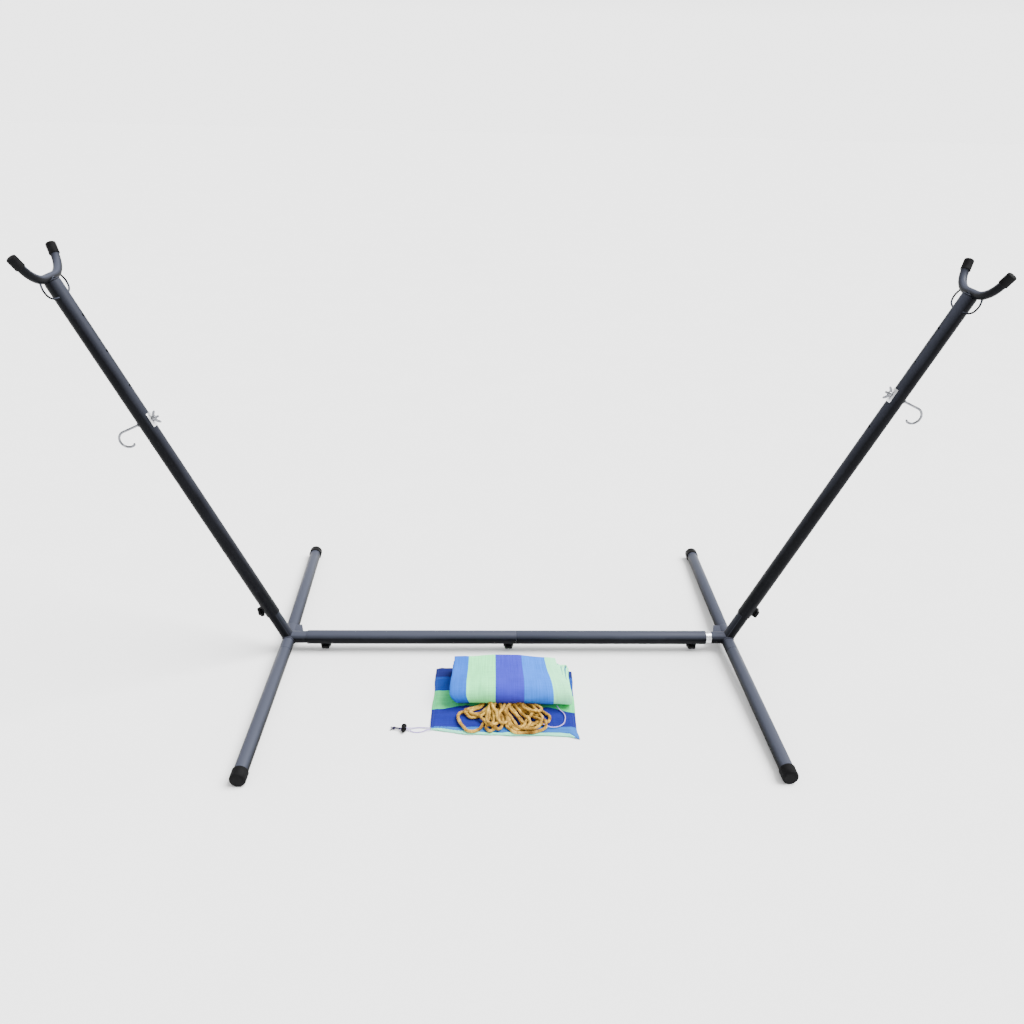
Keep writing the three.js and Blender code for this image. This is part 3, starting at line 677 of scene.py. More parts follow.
def make_yokes():
    flange = [(0, 0), (SLEEVE_R - 0.001, 0), (SLEEVE_R - 0.0004, 0.0006), (SLEEVE_R - 0.0004, 0.0032),
              (SLEEVE_R - 0.0014, 0.004), (0, 0.004)]
    drop = [(0, -0.003), (0.0030, -0.0022), (0.0040, -0.0006), (0.0036, 0.0010), (0.0026, 0.0020), (0, 0.0022)]
    eye_line = [(50, 16), (57, 4), (64, -9), (65.5, -20), (60, -33), (46, -41.5), (30, -45), (12, -47)]
    for side in SIDES:
        line, way = yoke_line(side)
        piece = stand_piece(f"bent_yoke_{side}", sweep(line, YOKE_R, 56), [f"yoke_{side}"])
        boolean(piece, [revolve(flange, on_arm(side, ARM_TOP - 0.004), ARM_UP[side], 64),
                        rod(on_arm(side, ARM_TOP - 0.060), on_arm(side, ARM_TOP - 0.001), STUB_R, 64)], "UNION")
        boolean(piece, [sweep(yoke_line(side, 0.004)[0], 0.009, 32),
                        rod(on_arm(side, ARM_TOP - 0.065), on_arm(side, ARM_TOP - 0.009), STUB_BORE, 48)], "DIFFERENCE")
        seat = []
        for t in [FULL * k / 72 for k in range(72)]:
            out = 0.0105 * math.cos(t)
            lift = 0.007 - math.sqrt(max(0.0, YOKE_R ** 2 - out ** 2)) * 0.98
            seat.append(on_arm(side, ARM_TOP + max(lift, 0.0002), out, 0.0198 * math.sin(t)))
        stand_piece(f"yoke_weld_{side}", bead(seat, 0.0018, 8))
        for end, sign in ENDS.items():
            tip, out = line[-1] * (1, sign, 1), way * (1, sign, 1)
            stand_piece(f"moulded_yoke_cap_{end}_{side}", revolve(YOKE_CAP, tip + out * (YOKE_WALL + GAP), -out, 56),
                        [f"yoke_cap_{end}_{side}"], slot="black_rubber")
            points = smooth_line([on_arm(side, ARM_TOP + up * MM, 0, sign * y * MM) for y, up in eye_line], 90)
            wire = [p for p in points if eye_is_outside(p, side, np.array(line))]
            drops = [revolve(drop, wire[0], wire[1] - wire[0], 20), revolve(drop, wire[-1], wire[-2] - wire[-1], 20)]
            stand_piece(f"wire_yoke_eye_{end}_{side}", both(sweep(wire, 0.0025, 20), *drops), [f"yoke_eye_{end}_{side}"])


# ---------------------------------------------------------------- small CAD nodes that keep their shape
def dress(name, bevel=0.0):
    """Gives a zinc CAD node its material and smooth shading, with worn edges where bevel is set."""
    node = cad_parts[name]
    mesh = node.data
    if "custom_normal" in mesh.attributes:
        mesh.attributes.remove(mesh.attributes["custom_normal"])
    node.modifiers.new("weld", "WELD").merge_threshold = 0.00001
    if bevel:
        soft = node.modifiers.new("bevel", "BEVEL")
        soft.width, soft.segments, soft.limit_method, soft.angle_limit = bevel, 2, "ANGLE", math.radians(38)
    mesh.shade_smooth()
    node.modifiers.new("smooth", "EDGE_SPLIT").split_angle = math.radians(38)
    mesh.materials.clear()
    mesh.materials.append(MATERIALS["zinc"])


def dress_small_parts():
    dress("beam_joint_sleeve")
    for name in CLAMPS:
        dress(f"knob_stud_{name}")
        dress(f"weld_nut_{name}", 0.0004)
    for side in SIDES:
        dress(f"saddle_washer_{side}", 0.0003)
        for end in ENDS:
            dress(f"snap_button_{end}_{side}")


make_tubes()
make_brackets()
make_foot_caps()
make_knobs()
make_hooks()
make_yokes()
dress_small_parts()


# ---------------------------------------------------------------- cloth and cord materials
def uv_axes(n):
    uv = n.add("UVMap", uv_map="metres").outputs["UV"]
    parts = n.split(uv)
    return uv, parts["X"], parts["Y"]


def striped_cloth(name, stripes, across, hems=(), end_hems=()):
    """Plain weave with stripes, as (start in metres, colour) in order across the cloth, and stitched hems."""
    n = Nodes(name)
    uv, u, v = uv_axes(n)
    here, order = (u, 1) if across == "u" else (v, -1)

    def yarns(*scale):
        return n.noise(1.0, 2.0, 0.6, n.add("Mapping", Vector=uv, Scale=[*scale[::order], 1.0]).outputs["Vector"])

    low, high = stripes[0][0], stripes[-1][0] + 0.2
    edge = n.plus(here, n.times(n.minus(n.noise(700.0, 1.0, 0.5, uv), 0.5), 0.0012))
    colour = n.ramp(n.grey(edge, 0.0, 1.0, low, high), [((s - low) / (high - low), c) for s, c in stripes], "CONSTANT")
    yarn, slub = yarns(620.0, 9.0), yarns(14.0, 900.0)
    height = n.times(n.sine(u, 0.0016), n.sine(v, 0.0016))
    tone = n.plus(n.grey(yarn, 0.78, 1.16, 0.25, 0.75), n.grey(slub, -0.10, 0.10, 0.3, 0.7))
    tone = n.plus(tone, n.grey(n.noise(16.0, 4.0, 0.6), -0.08, 0.08, 0.3, 0.7))
    # the weave's raised crossings are made a touch lighter in colour: a small painted highlight
    colour = n.shade(colour, n.plus(tone, n.times(height, 0.05)))
    stitch = None
    for axis, along, at in [(u, v, p) for p in hems] + [(v, u, p) for p in end_hems]:
        near = n.math("LESS_THAN", n.math("ABSOLUTE", n.minus(axis, at)), 0.0006)
        line = n.times(near, n.math("GREATER_THAN", n.sine(along, 0.0035), -0.35))
        stitch = n.math("MAXIMUM", stitch, line) if stitch else line
    colour = n.mix(n.times(stitch, 0.7), colour, (0.030, 0.060, 0.200))
    normal = n.bump(n.plus(height, n.times(stitch, -1.5)), 0.35, 0.00025)
    normal = n.bump(n.plus(slub, yarn), 0.25, 0.0003, Normal=normal)
    return n.set(Base_Color=colour, Roughness=0.92, Specular_IOR_Level=0.06, Sheen_Weight=0.05, Sheen_Roughness=0.4,
                 Normal=normal)


def rope_material():
    """Fibres that follow the lay of the strands; u runs round the rope, v along it, in metres."""
    n = Nodes("tan rope")
    _, u, v = uv_axes(n)
    flat = n.add("CombineXYZ", X=n.times(n.minus(u, v), 1500.0), Y=n.times(v, 90.0))
    fibre = n.noise(1.0, 3.0, 0.6, flat.outputs[0])
    share = n.plus(n.times(fibre, 0.5), n.times(n.noise(48.0, 3.0, 0.6), 0.5))
    colour = n.ramp(share, [(0.38, (0.070, 0.030, 0.004)), (0.50, (0.270, 0.145, 0.020)), (0.60, (0.680, 0.420, 0.072))])
    # painted shade: the colour darkens where the surface is hollow, in the grooves between the strands
    colour = n.shade(colour, n.grey(n.add("NewGeometry").outputs["Pointiness"], 0.2, 1.1, 0.42, 0.53))
    return n.set(Base_Color=colour, Roughness=0.85, Specular_IOR_Level=0.1, Sheen_Weight=0.06, Sheen_Roughness=0.4,
                 Normal=n.bump(fibre, 0.4, 0.0003))


def cord_material():
    """A lilac braid whose end, beyond the lock, turns darker."""
    n = Nodes("lilac cord")
    _, u, v = uv_axes(n)
    u, v = n.times(u, 5200.0), n.times(v, 3200.0)
    plait = n.math("MAXIMUM", n.sine(n.plus(u, v)), n.sine(n.minus(u, v)))
    # painted shade: the colour is darker where the braid's strands dip, in the hollows of the plait
    colour = n.ramp(n.plus(n.grey(plait, 0.0, 0.6, -1.0, 1.0), n.times(n.noise(160.0, 4.0, 0.6), 0.4)),
                    [(0.1, (0.10, 0.08, 0.24)), (0.55, (0.34, 0.26, 0.58)), (0.9, (0.48, 0.38, 0.74))])
    # the colour turns darker beyond x = -0.31, over the knot and its tails
    dark_end = n.grey(n.split(n.place())["X"], 1.0, 0.0, -0.314, -0.306)
    colour = n.mix(dark_end, colour, (0.020, 0.016, 0.045))
    return n.set(Base_Color=colour, Roughness=0.75, Specular_IOR_Level=0.15, Sheen_Weight=0.05, Sheen_Roughness=0.4,
                 Normal=n.bump(plait, 0.3, 0.0002))


SKY = (0.014, 0.115, 0.560)
LIGHT_SKY = (0.020, 0.160, 0.700)
MINT = (0.190, 0.860, 0.330)
INDIGO = (0.036, 0.038, 0.420)
PALE = (0.280, 0.880, 0.450)
NAVY = (0.012, 0.016, 0.110)
MIDBLUE = (0.010, 0.046, 0.260)
GREEN = (0.070, 0.560, 0.190)
ROYAL = (0.012, 0.016, 0.180)
RIM_SKY = (0.022, 0.120, 0.400)
RIM_MINT = (0.200, 0.680, 0.460)
# ---------------------------------------------------------------- the pack's own frame, and smooth noise
PACK_TURN = math.radians(-1.5)


def pack(points):
    """From the pack's own millimetres to the world's metres."""
    p = np.asarray(points, float) * MM
    c, s = math.cos(PACK_TURN), math.sin(PACK_TURN)
    x = p[..., 0] * c - p[..., 1] * s - 0.027
    y = p[..., 0] * s + p[..., 1] * c - 0.256
    return np.stack([x, y, p[..., 2]], -1)


def smooth_noise(points, size, seed):
    """Noise from -1 to 1 with features of the given size, the same on every run."""
    grid = np.random.RandomState(seed).uniform(-1, 1, (24, 24, 24))
    q = np.asarray(points, float) / size + 100.5
    base = np.floor(q).astype(int)
    t = q - base
    t = t * t * t * (t * (t * 6 - 15) + 10)
    total = 0.0
    for corner in np.ndindex(2, 2, 2):
        share = np.where(corner, t, 1 - t)
        x, y, z = np.moveaxis((base + corner) % 24, -1, 0)
        total = total + share[..., 0] * share[..., 1] * share[..., 2] * grid[x, y, z]
    return total


def ridges(points, size, seed):
    return 1 - np.abs(smooth_noise(points, size, seed))


def ease(x, low, high):
    t = np.clip((np.asarray(x, float) - low) / (high - low), 0, 1)
    return t * t * (3 - 2 * t)


def grid_shape(points, uv, round_u):
    """Verts, faces and UV corners of a grid of points [i][j]. round_u closes it over j and caps both ends."""
    rows, cols = points.shape[:2]
    verts, faces, corners = list(points.reshape(-1, 3)), [], []
    for i in range(rows - 1):
        for j in range(cols if round_u else cols - 1):
            k = (j + 1) % cols
            faces.append([i * cols + j, i * cols + k, (i + 1) * cols + k, (i + 1) * cols + j])
            corners += [uv(i, j), uv(i, j + 1), uv(i + 1, j + 1), uv(i + 1, j)]
    for end in (0, rows - 1) if round_u else ():
        for j in range(cols):
            ring = [end * cols + j, end * cols + (j + 1) % cols, len(verts)]
            faces.append(ring if end else ring[::-1])
            corners += [uv(end, j), uv(end, j + 1), uv(end, j)]
        verts.append(points[end].mean(0))
    return verts, faces, corners


def soft_piece(name, grids, body, material, replaces=(), round_u=True):
    """A piece from grids of points, in the pack's millimetres, with their UVs in metres."""
    verts, faces, corners = [], [], []
    for points, uv in grids:
        more_verts, more_faces, more_corners = grid_shape(points, uv, round_u)
        faces += [[k + len(verts) for k in face] for face in more_faces]
        verts += more_verts
        corners += more_corners
    mesh = mesh_of(name, pack(np.array(verts)), faces)
    mesh.uv_layers.new(name="metres").data.foreach_set("uv", np.array(corners, np.float32).ravel())
    mesh.shade_smooth()
    mesh.materials.append(material)
    return enlist(add_object(name, mesh), body, replaces)


def cloth_piece(name, points, uv, body, material, replaces):
    piece = soft_piece(name, [(points, uv)], body, material, replaces, round_u=False)
    thick = piece.modifiers.new("thickness", "SOLIDIFY")
    thick.thickness, thick.offset = 0.0007, 0.0
    return piece


# ---------------------------------------------------------------- the folded hammock
PLY = 1.54
PASS = 4 * PLY
FRONT = -45 + 6 * PASS
BACK = 115.5
FLOOR = 7.4


class Pen:
    """Draws straights and arcs in a plane, and keeps the heading at each point."""

    def __init__(self, at, degrees):
        self.points, self.headings = [np.array(at, float)], [math.radians(degrees)]

    def straight(self, length, steps):
        at, heading = self.points[-1], self.headings[-1]
        way = np.array([math.cos(heading), math.sin(heading)])
        for k in range(1, steps + 1):
            self.points.append(at + way * length * k / steps)
            self.headings.append(heading)

    def arc(self, radius, degrees, steps):
        at, start = self.points[-1], self.headings[-1]
        turn = math.copysign(radius, degrees)
        centre = at + turn * np.array([-math.sin(start), math.cos(start)])
        for k in range(1, steps + 1):
            heading = start + math.radians(degrees) * k / steps
            self.points.append(centre - turn * np.array([-math.sin(heading), math.cos(heading)]))
            self.headings.append(heading)

    def draw(self, legs):
        """Draws (length of a straight, its steps, radius of the half turn after it, negative to the right, its steps)."""
        for length, steps, radius, arc_steps in legs:
            self.straight(length, steps)
            if radius:
                self.arc(abs(radius), math.copysign(180, radius), arc_steps)
        h = np.array(self.headings)
        return np.array(self.points), np.stack([np.sin(h), -np.cos(h)], 1)


def fold_along():
    """Side view (y, z) of the cloth: six folds, one inside another, from the free end in the core."""
    legs = [(108, 15, 0.5, 8), (BACK, 15, -2.5, 12), (BACK, 15, -5.5, 22), (112, 18, -0.5, 8), (112, 15, 4.5, 18),
            (BACK, 15, 1.5, 10), (BACK, 15, -1.5, 10), (105, 15, 0.5, 8), (105, 15, 2.5, 14), (BACK, 15, -0.5, 8),
            (BACK, 15, -3.5, 16), (103, 15, 0, 0)]
    return Pen((108, 6.5 * PASS), 180).draw([(end - FRONT, steps, turn * PASS, more) for end, steps, turn, more in legs])


def fold_across():
    """Front view (x, offset) of the cloth folded in four across its width."""
    return Pen((164, 1.5 * PLY), 180).draw([(334, 40, 1.5 * PLY, 8), (340, 40, 0.5 * PLY, 6),
                                            (336, 40, -0.5 * PLY, 6), (333, 40, 0, 0)])


def slump(p, v):
    """Bends the neat stack into a soft one: edges droop, layers slip, wrinkles run over it."""
    x, y, z = np.moveaxis(p, -1, 0)
    tall = 12 * PASS
    slip = v[:, None] * X_AXIS
    left, right = [smooth_noise(slip, 130, seed)[:, None] * size for seed, size in ((5, 5.0), (6, 6.0))]
    side = x / 170
    x = x + np.where(side < 0, left, right) * side ** 4
    high = z / tall
    lean = ease(high, 0.25, 0.95) * ease(y, -60, 118)
    place = np.clip((x + 172) / 345, 0, 1)
    x = x - 42 * lean * (0.16 * place + 0.84 * place ** 5)
    x = x + 7 * lean * (1 - place) ** 5
    x = x + 24 * (1 - place) ** 7 * ease(-y, -12, 40) * (1 - ease(high, 0.15, 0.72))
    droop = 0.10 * np.abs(side) ** 3.5 + 0.05 * np.abs((y - 30) / 100) ** 4
    puff = 0.035 * np.cos(side * 5.0 + 0.8) * (1 - high * 0.2)
    z = z * (1 - np.clip(droop, 0, 0.35) * (0.5 + 0.5 * high) + puff * 0.6)
    y = y + 6 * high * (1 - high) * ease(y, 60, 120)
    q = np.stack([x, y, z], -1)
    skin = ease(np.maximum(high, ease(-y, 0, 40)), 0.2, 0.9)
    big, mid = smooth_noise(q, 75, 11), smooth_noise(q * (1.0, 0.55, 0.8), 30, 12)
    fold = ridges(q * (0.5, 1.0, 1.0) + 31, 34, 13)
    fine = ridges(q * (1.0, 0.35, 0.7) + 77, 15, 14)
    lift = 3.0 * big + 1.4 * mid + 2.0 * (fold - 0.75) + 0.8 * (fine - 0.7)
    away = np.stack([0 * x, -ease(-y, -10, 45) * 0.8, ease(z, 6, 40)], -1)
    q = q + away * (lift * (0.35 + 0.65 * skin))[..., None]
    q[..., 0] += 1.6 * smooth_noise(q + 9, 40, 15) * np.abs(side) + 0.9 * smooth_noise(q, 55, 19)
    q[..., 1] += 1.3 * smooth_noise(q + 5, 45, 16) * ease(y, 70, 115)
    q[..., 2] = np.maximum(q[..., 2], 0.25)
    soft_top = 70.5
    q[..., 2] = np.where(q[..., 2] > soft_top, soft_top + (q[..., 2] - soft_top) * 0.5, q[..., 2])
    q[..., 1] = np.maximum(q[..., 1], -46.5)
    return q


# Where each stripe starts, in millimetres. The ply on top shows blue, mint, indigo, sky and pale mint from the left.
HAMMOCK_STRIPES = [
    (0, PALE), (59, LIGHT_SKY), (141, INDIGO), (223, MINT), (300, SKY), (385, MINT), (462, INDIGO), (544, LIGHT_SKY),
    (626, PALE), (782, MIDBLUE), (840, MINT), (916, ROYAL), (990, SKY), (1080, PALE), (1155, INDIGO), (1225, MINT),
    (1297, MIDBLUE),
]


def make_hammock():
    (along, outward), (across, _) = fold_along(), fold_across()
    x = np.tile(across[:, 0], (len(along), 1))
    yz = along[:, None] + outward[:, None] * across[None, :, 1:]
    points = slump(np.concatenate([x[..., None], yz], -1), lengths(along)) + (20, 0, FLOOR)
    u, v = lengths(across) * MM, lengths(along) * MM
    material = striped_cloth("striped hammock cloth", [(s * MM, c) for s, c in HAMMOCK_STRIPES], "u",
                             (0.012, u[-1] - 0.012), (0.02, v[-1] - 0.02))
    cloth = cloth_piece("striped_hammock", points, lambda i, j: (u[j], v[i]), "hammock_pack", material,
                        ["folded_hammock"])


# ---------------------------------------------------------------- the carry bag
def bag_outline(x):
    """Front and back edges of the bag, in the pack's millimetres, at a place across it."""
    s = (x + 205) / 410
    spots = np.array([[-205, -130], [-173, -134], [-118, -143], [-63, -147], [-9, -148], [46, -148.5], [106, -148],
                      [155, -147.5],
                      [182, -150.5], [206, -159]])
    fine = smooth_line(np.column_stack([spots, spots[:, 0] * 0]), 200)
    front = np.interp(x, fine[:, 0], fine[:, 1]) + 0.8 * np.sin(s * 19) + 0.6 * np.sin(s * 41 + 1)
    back = 145 - 2.5 * s + 1.2 * np.sin(s * 11 + 0.5)
    return front, back


def make_bag():
    cols, rows = 124, 78
    s = np.linspace(0, 1, cols)
    x = -203 + 408 * s
    front, back = bag_outline(x)
    # (share from front to back, layer): the underside, the fold at the back, the top, and the hem turned in
    prof = np.array([*[(k, 0) for k in np.linspace(0, 1, rows)],
                     *[(1 + 0.004 * math.sin(k * math.pi), k) for k in (0.25, 0.5, 0.75)],
                     *[(k, 1) for k in np.linspace(1, 0, rows)],
                     (-0.003, 0.93), (-0.0045, 0.75), (-0.003, 0.58), (0.004, 0.50), (0.02, 0.5), (0.045, 0.52)])
    y = front + (back - front) * prof[:, :1]
    layer = prof[:, 1:] * np.ones(cols)
    xx = np.tile(x, (len(prof), 1))
    edge = np.minimum(s, 1 - s) * 408
    q = np.stack([xx, y, layer * 9], -1)
    inside = (ease(xx, -165, -150) - ease(xx, 178, 193)) * ease(y, -40, -20) * (1 - ease(y, 122, 138))
    waves = 1.2 * smooth_noise(q * (1, 1, 0.3), 48, 21) + 0.8 * ridges(q * (0.5, 1.3, 0.3), 26, 22)
    pucker = 0.8 * np.sin(y * FULL / 11 + 2 * smooth_noise(q, 40, 25)) * (1 - ease(edge, 2, 20))
    channel = np.exp(-((y - front - 9) / 6.0) ** 2) * 1.6
    gather = 0.7 * np.sin(xx * FULL / 9 + smooth_noise(q, 30, 28) * 3)
    gather = gather * ease(front - y, -26, -8) * (1 - ease(xx, -120, 60))
    creases = ridges(q * (0.4, 1.0, 0.3) + 11, 15, 29)
    creases2 = ridges(q * (1.0, 0.45, 0.3) + 51, 19, 30)
    top = 3.0 + waves * 1.2 + pucker + channel + gather + 1.7 * (creases ** 3 - 0.3) + 1.4 * (creases2 ** 3 - 0.3)
    top = np.where(inside > 0.01, top * (1 - inside) + np.minimum(top, 5.6) * inside, top)
    low = 0.7 + 0.25 * smooth_noise(q, 30, 23)
    ears = ease(xx, 175, 205) * ease(front - y, -40, -5)
    top = top + 1.8 * ears
    z = low + (np.clip(top, 1.6, 7.6) - low) * layer * (0.22 + 0.78 * ease(edge, 0, 16))
    left_in = (1 - s) ** 6 * (3.0 * smooth_noise(q, 60, 26) + 1.5)
    right_out = s ** 6 * 2.5 * smooth_noise(q + 40, 55, 27)
    points = np.stack([xx + left_in + right_out + 3.5 * ears * s ** 8, y, np.maximum(z, 0.45)], -1)
    stripes = [(-0.220, RIM_MINT), (-0.138, RIM_SKY), (-0.123, ROYAL), (-0.049, GREEN), (0.031, MIDBLUE), (0.107, NAVY)]
    material = striped_cloth("striped bag cloth", stripes, "v", (-0.196, 0.198), (-0.1365,))
    # stripes follow a point's place from front to back, so both layers match at the seams
    seen = np.array([stripe_places(k, column) for k, column in zip(x, y.T)]).T * MM
    piece = cloth_piece("sewn_bag", points, lambda i, j: (x[j] * MM, seen[i, j]), "carry_bag", material, ["carry_bag"])


def stripe_places(x, y):
    """Where a point lies among the stripes, which don't run quite square to the bag."""
    share = (x + 180) / 375
    rim = np.interp(x, [-205, -173, -118, -63, -9, 46, 106, 155, 182, 203],
                    [-126, -127, -136, -141, -142.4, -142.4, -141, -140, -145, -166])
    left = np.array([-123.0, -47.0, 38.0, 105.0])
    right = np.array([-115.0, -52.0, 24.0, 110.0])
    lines = left + (right - left) * share
    # The royal stripe reaches further back under the roll's middle, so its darker blue stands in for the shade under
    # the roll's front: painted shade.
    lines[1] += 19 * float(ease(x, -185, -110) * (1 - ease(x, 120, 192)))
    mean = np.array([-198.0, -138.0, -123.0, -49.0, 31.0, 107.0, 167.0])
    lines = np.concatenate([[rim - 60, min(rim, lines[0] - 0.5)], lines, [lines[-1] + 60]])
    return np.interp(y, lines, mean)


# ---------------------------------------------------------------- ropes: lay, weight and twist
ROPE_D = 8.6
ROPES = [
    # height order, and the route as x, y, x, y ... in the pack's millimetres
    (0, [-36, -26, -48, -48, -62, -66, -84, -73, -104, -65, -119, -68, -126, -82, -121, -104, -108, -128, -93, -144,
         -77, -145, -63, -132, -54, -110, -46, -84, -38, -56, -26, -26]),
    (0, [60, -26, 88, -46, 112, -60, 126, -76, 126, -94, 112, -108, 92, -112, 74, -104, 62, -86, 54, -62, 46, -26]),
    (0, [-34, -26, -38, -69, -45, -104, -49, -125, -36, -141, -22, -128, -19, -106, -16, -74, -14, -26]),
    (0, [4, -26, 36, -37, 64, -46, 84, -60, 93, -80, 92, -104, 90, -124, 74, -136, 58, -124, 50, -98, 40, -72, 26, -48,
         18, -26]),
    (1, [-30, -26, -25, -44, -12, -79, 2, -105, 15, -128, 35, -144, 62, -146, 88, -143, 109, -133, 119, -116, 117, -98,
         104, -84, 84, -72, 64, -56, 50, -26]),
    (1, [-58, -26, -78, -44, -98, -56, -105, -70, -92, -84, -68, -84, -48, -66, -36, -26]),
    (1, [-22, -26, -29, -70, -33, -104, -30, -126, -18, -137, -6, -128, -4, -104, -10, -72, -8, -26]),
    (2, [-14, -26, -10, -42, 2, -68, 15, -91, 23, -114, 37, -130, 58, -137, 84, -133, 100, -119, 100, -101, 86, -86,
         68, -70, 50, -52, 38, -26]),
    (2, [-52, -26, -64, -46, -80, -56, -92, -68, -82, -82, -62, -92, -52, -108, -44, -124, -31, -120, -28, -100,
         -28, -70, -22, -26]),
    (3, [20, -26, 37, -38, 45, -62, 57, -84, 70, -104, 72, -124, 56, -137, 39, -130, 31, -112, 22, -88, 10, -60, 4, -26]),
    (3, [-44, -26, -33, -50, -20, -78, -15, -104, -5, -119, 8, -115, 10, -96, 5, -70, 12, -46, 24, -26]),
    (2, [-10, -26, -2, -60, 12, -96, 20, -122, 34, -139, 56, -128, 66, -104, 76, -84, 92, -66, 84, -48, 64, -26]),
    (1, [10, -26, 24, -56, 40, -84, 52, -110, 70, -122, 96, -112, 108, -94, 98, -76, 74, -60, 56, -44, 42, -26]),
    (3, [-30, -26, -42, -62, -48, -92, -44, -116, -30, -131, -14, -112, -10, -84, 0, -60, 6, -26]),
    (3, [74, -26, 96, -43, 107, -58, 97, -73, 76, -73, 58, -60, 48, -44, 34, -26]),
]


def smooth_along(values, reach):
    """Averages each strand's shifts with its neighbours', holding the ends."""
    taps = np.exp(-0.5 * (np.arange(-3 * reach, 3 * reach + 1) / reach) ** 2)
    taps /= taps.sum()
    padded = np.pad(values, ((3 * reach, 3 * reach), (0, 0)), "reflect", reflect_type="odd")
    return np.stack([np.convolve(padded[:, k], taps, "valid") for k in range(values.shape[1])], 1)


def settle_ropes():
    """Lets the strands rest on each other: crossings lift one over the other, and only long bends shift sideways."""
    spacing, rounds = 5.0, 150
    lines, owner = [], []
    for number, (order, route) in enumerate(ROPES):
        flat = smooth_line([(a, b, 0.0) for a, b in zip(route[::2], route[1::2])], 200)
        count = max(14, int(np.linalg.norm(np.diff(flat, axis=0), axis=1).sum() / spacing))
        line = resample(flat, count)
        hump = np.sin(np.linspace(0, math.pi, count + 1)) ** 0.4
        line[:, 2] = FLOOR + ROPE_D / 2 + (1.0 + order * 5.5) * hump + number * 0.05
        lines.append(line)
        owner += [number] * (count + 1)
    base = np.vstack(lines)
    owner = np.array(owner)
    index = np.concatenate([np.arange(len(line)) for line in lines])
    last = np.array([len(lines[k]) - 1 for k in owner])
    free = np.clip(np.minimum(index, last - index) / 3.0, 0, 1)[:, None]
    near = (owner[:, None] == owner[None, :]) & (np.abs(index[:, None] - index[None, :]) < 6)
    skip = near | np.tri(len(base), dtype=bool)
    shift = np.zeros_like(base)
    for _ in range(rounds):
        p = base + shift
        apart = p[:, None, :] - p[None, :, :]
        far = np.sqrt((apart ** 2).sum(-1)) + np.tri(len(p)) * 1e3
        a, b = np.where((far < ROPE_D) & ~skip)
        move = np.zeros_like(p)
        hits = np.ones(len(p))
        if len(a):
            way = apart[a, b] / far[a, b][:, None]
            way[:, 2] += np.where(p[a, 2] >= p[b, 2], 0.5, -0.5)
            way /= np.linalg.norm(way, axis=1)[:, None]
            push = (ROPE_D - far[a, b])[:, None] * way * (0.35, 0.35, 0.5)
            for who, sign in ((a, 1), (b, -1)):
                np.add.at(move, who, sign * push)
                np.add.at(hits, who, 1)
        move /= np.sqrt(hits)[:, None]
        move[:, 2] -= 0.12
        shift = shift + move * free
        for k in range(len(ROPES)):
            own = owner == k
            shift[own, :2] = 0.75 * shift[own, :2] + 0.25 * smooth_along(shift[own, :2], 4) * free[own]
            shift[own, 2:] = 0.8 * shift[own, 2:] + 0.2 * smooth_along(shift[own, 2:], 2)
        p = base + shift
        p[:, 2] = np.maximum(p[:, 2], FLOOR + ROPE_D / 2 - 1.0)
        p[:, 1] = np.clip(p[:, 1], -147, 0)
        p[:, 0] = np.clip(p[:, 0], -130, 130)
        rel = p[:, 1:] - np.array([FRONT, FLOOR + 6 * PASS])
        reach = 6 * PASS + ROPE_D / 2 - 1.5
        away = np.linalg.norm(rel, axis=1)
        hit = (away < reach) & (rel[:, 1] < 6) & (free[:, 0] > 0.9)
        p[hit, 1:] += (rel[hit] / away[hit][:, None]) * (reach - away[hit])[:, None] * 0.5
        p[:, 2] = np.minimum(p[:, 2], FLOOR + 12 + 28 * ease(p[:, 1], -146, -60))
        shift = p - base
    p = base + shift
    kinks = np.stack([smooth_noise(p + 17 * owner[:, None] + seed, 21, seed) for seed in (31, 32, 33)], 1)
    p = p + kinks * (2.6, 2.6, 0.8) * free
    return [p[owner == k] for k in range(len(ROPES))]


def rope_lay(t, along):
    """Three strands laid round the rope, a full turn each 24 mm."""
    return 0.84 + 0.16 * np.abs(np.cos(3 * (t - FULL / 24.0 * along) / 2)) ** 0.8 * 1.25


def braid(t, along):
    """Two sets of strands that cross over each other."""
    twist = FULL * along / 9.0
    return 0.93 + 0.07 * np.maximum(np.cos(7 * (t + twist)), np.cos(7 * (t - twist)))


def tapered_braid(t, along):
    return braid(t, along) * (1 - 0.5 * ease(along, along[-1] - 1.2, along[-1]))


def round_cord(line, radius, relief, step=0.4, sides=28):
    """A cord's surface in the pack's millimetres, its UVs in metres, its path and length. relief shapes its radius."""
    fine = smooth_line(line, max(8, int(np.linalg.norm(np.diff(line, axis=0), axis=1).sum() / step)))
    along = lengths(fine)
    t = np.linspace(0, FULL, sides, endpoint=False)
    points = rings_along(fine, radius * relief(t[None, :], along[:, None]))
    return points, lambda i, j: (FULL * radius * j / sides * MM, along[i] * MM), fine, along[-1]


def make_cord(name, made, radius, body, slot, material, replaces=(), every=8, far_end="object", **more):
    points, uv, path, length = made
    piece = soft_piece(name, [(points, uv)], body, material, replaces)
    world = pack(path)


def make_ropes():
    material = rope_material()
    for number, line in enumerate(settle_ropes(), 1):
        made = round_cord(line, ROPE_D / 2, rope_lay, 1.7, 18)
        make_cord(f"rope_strand_{number}", made, ROPE_D / 2, "hammock_pack", "cotton_rope", material, ["rope_heap"], 4)


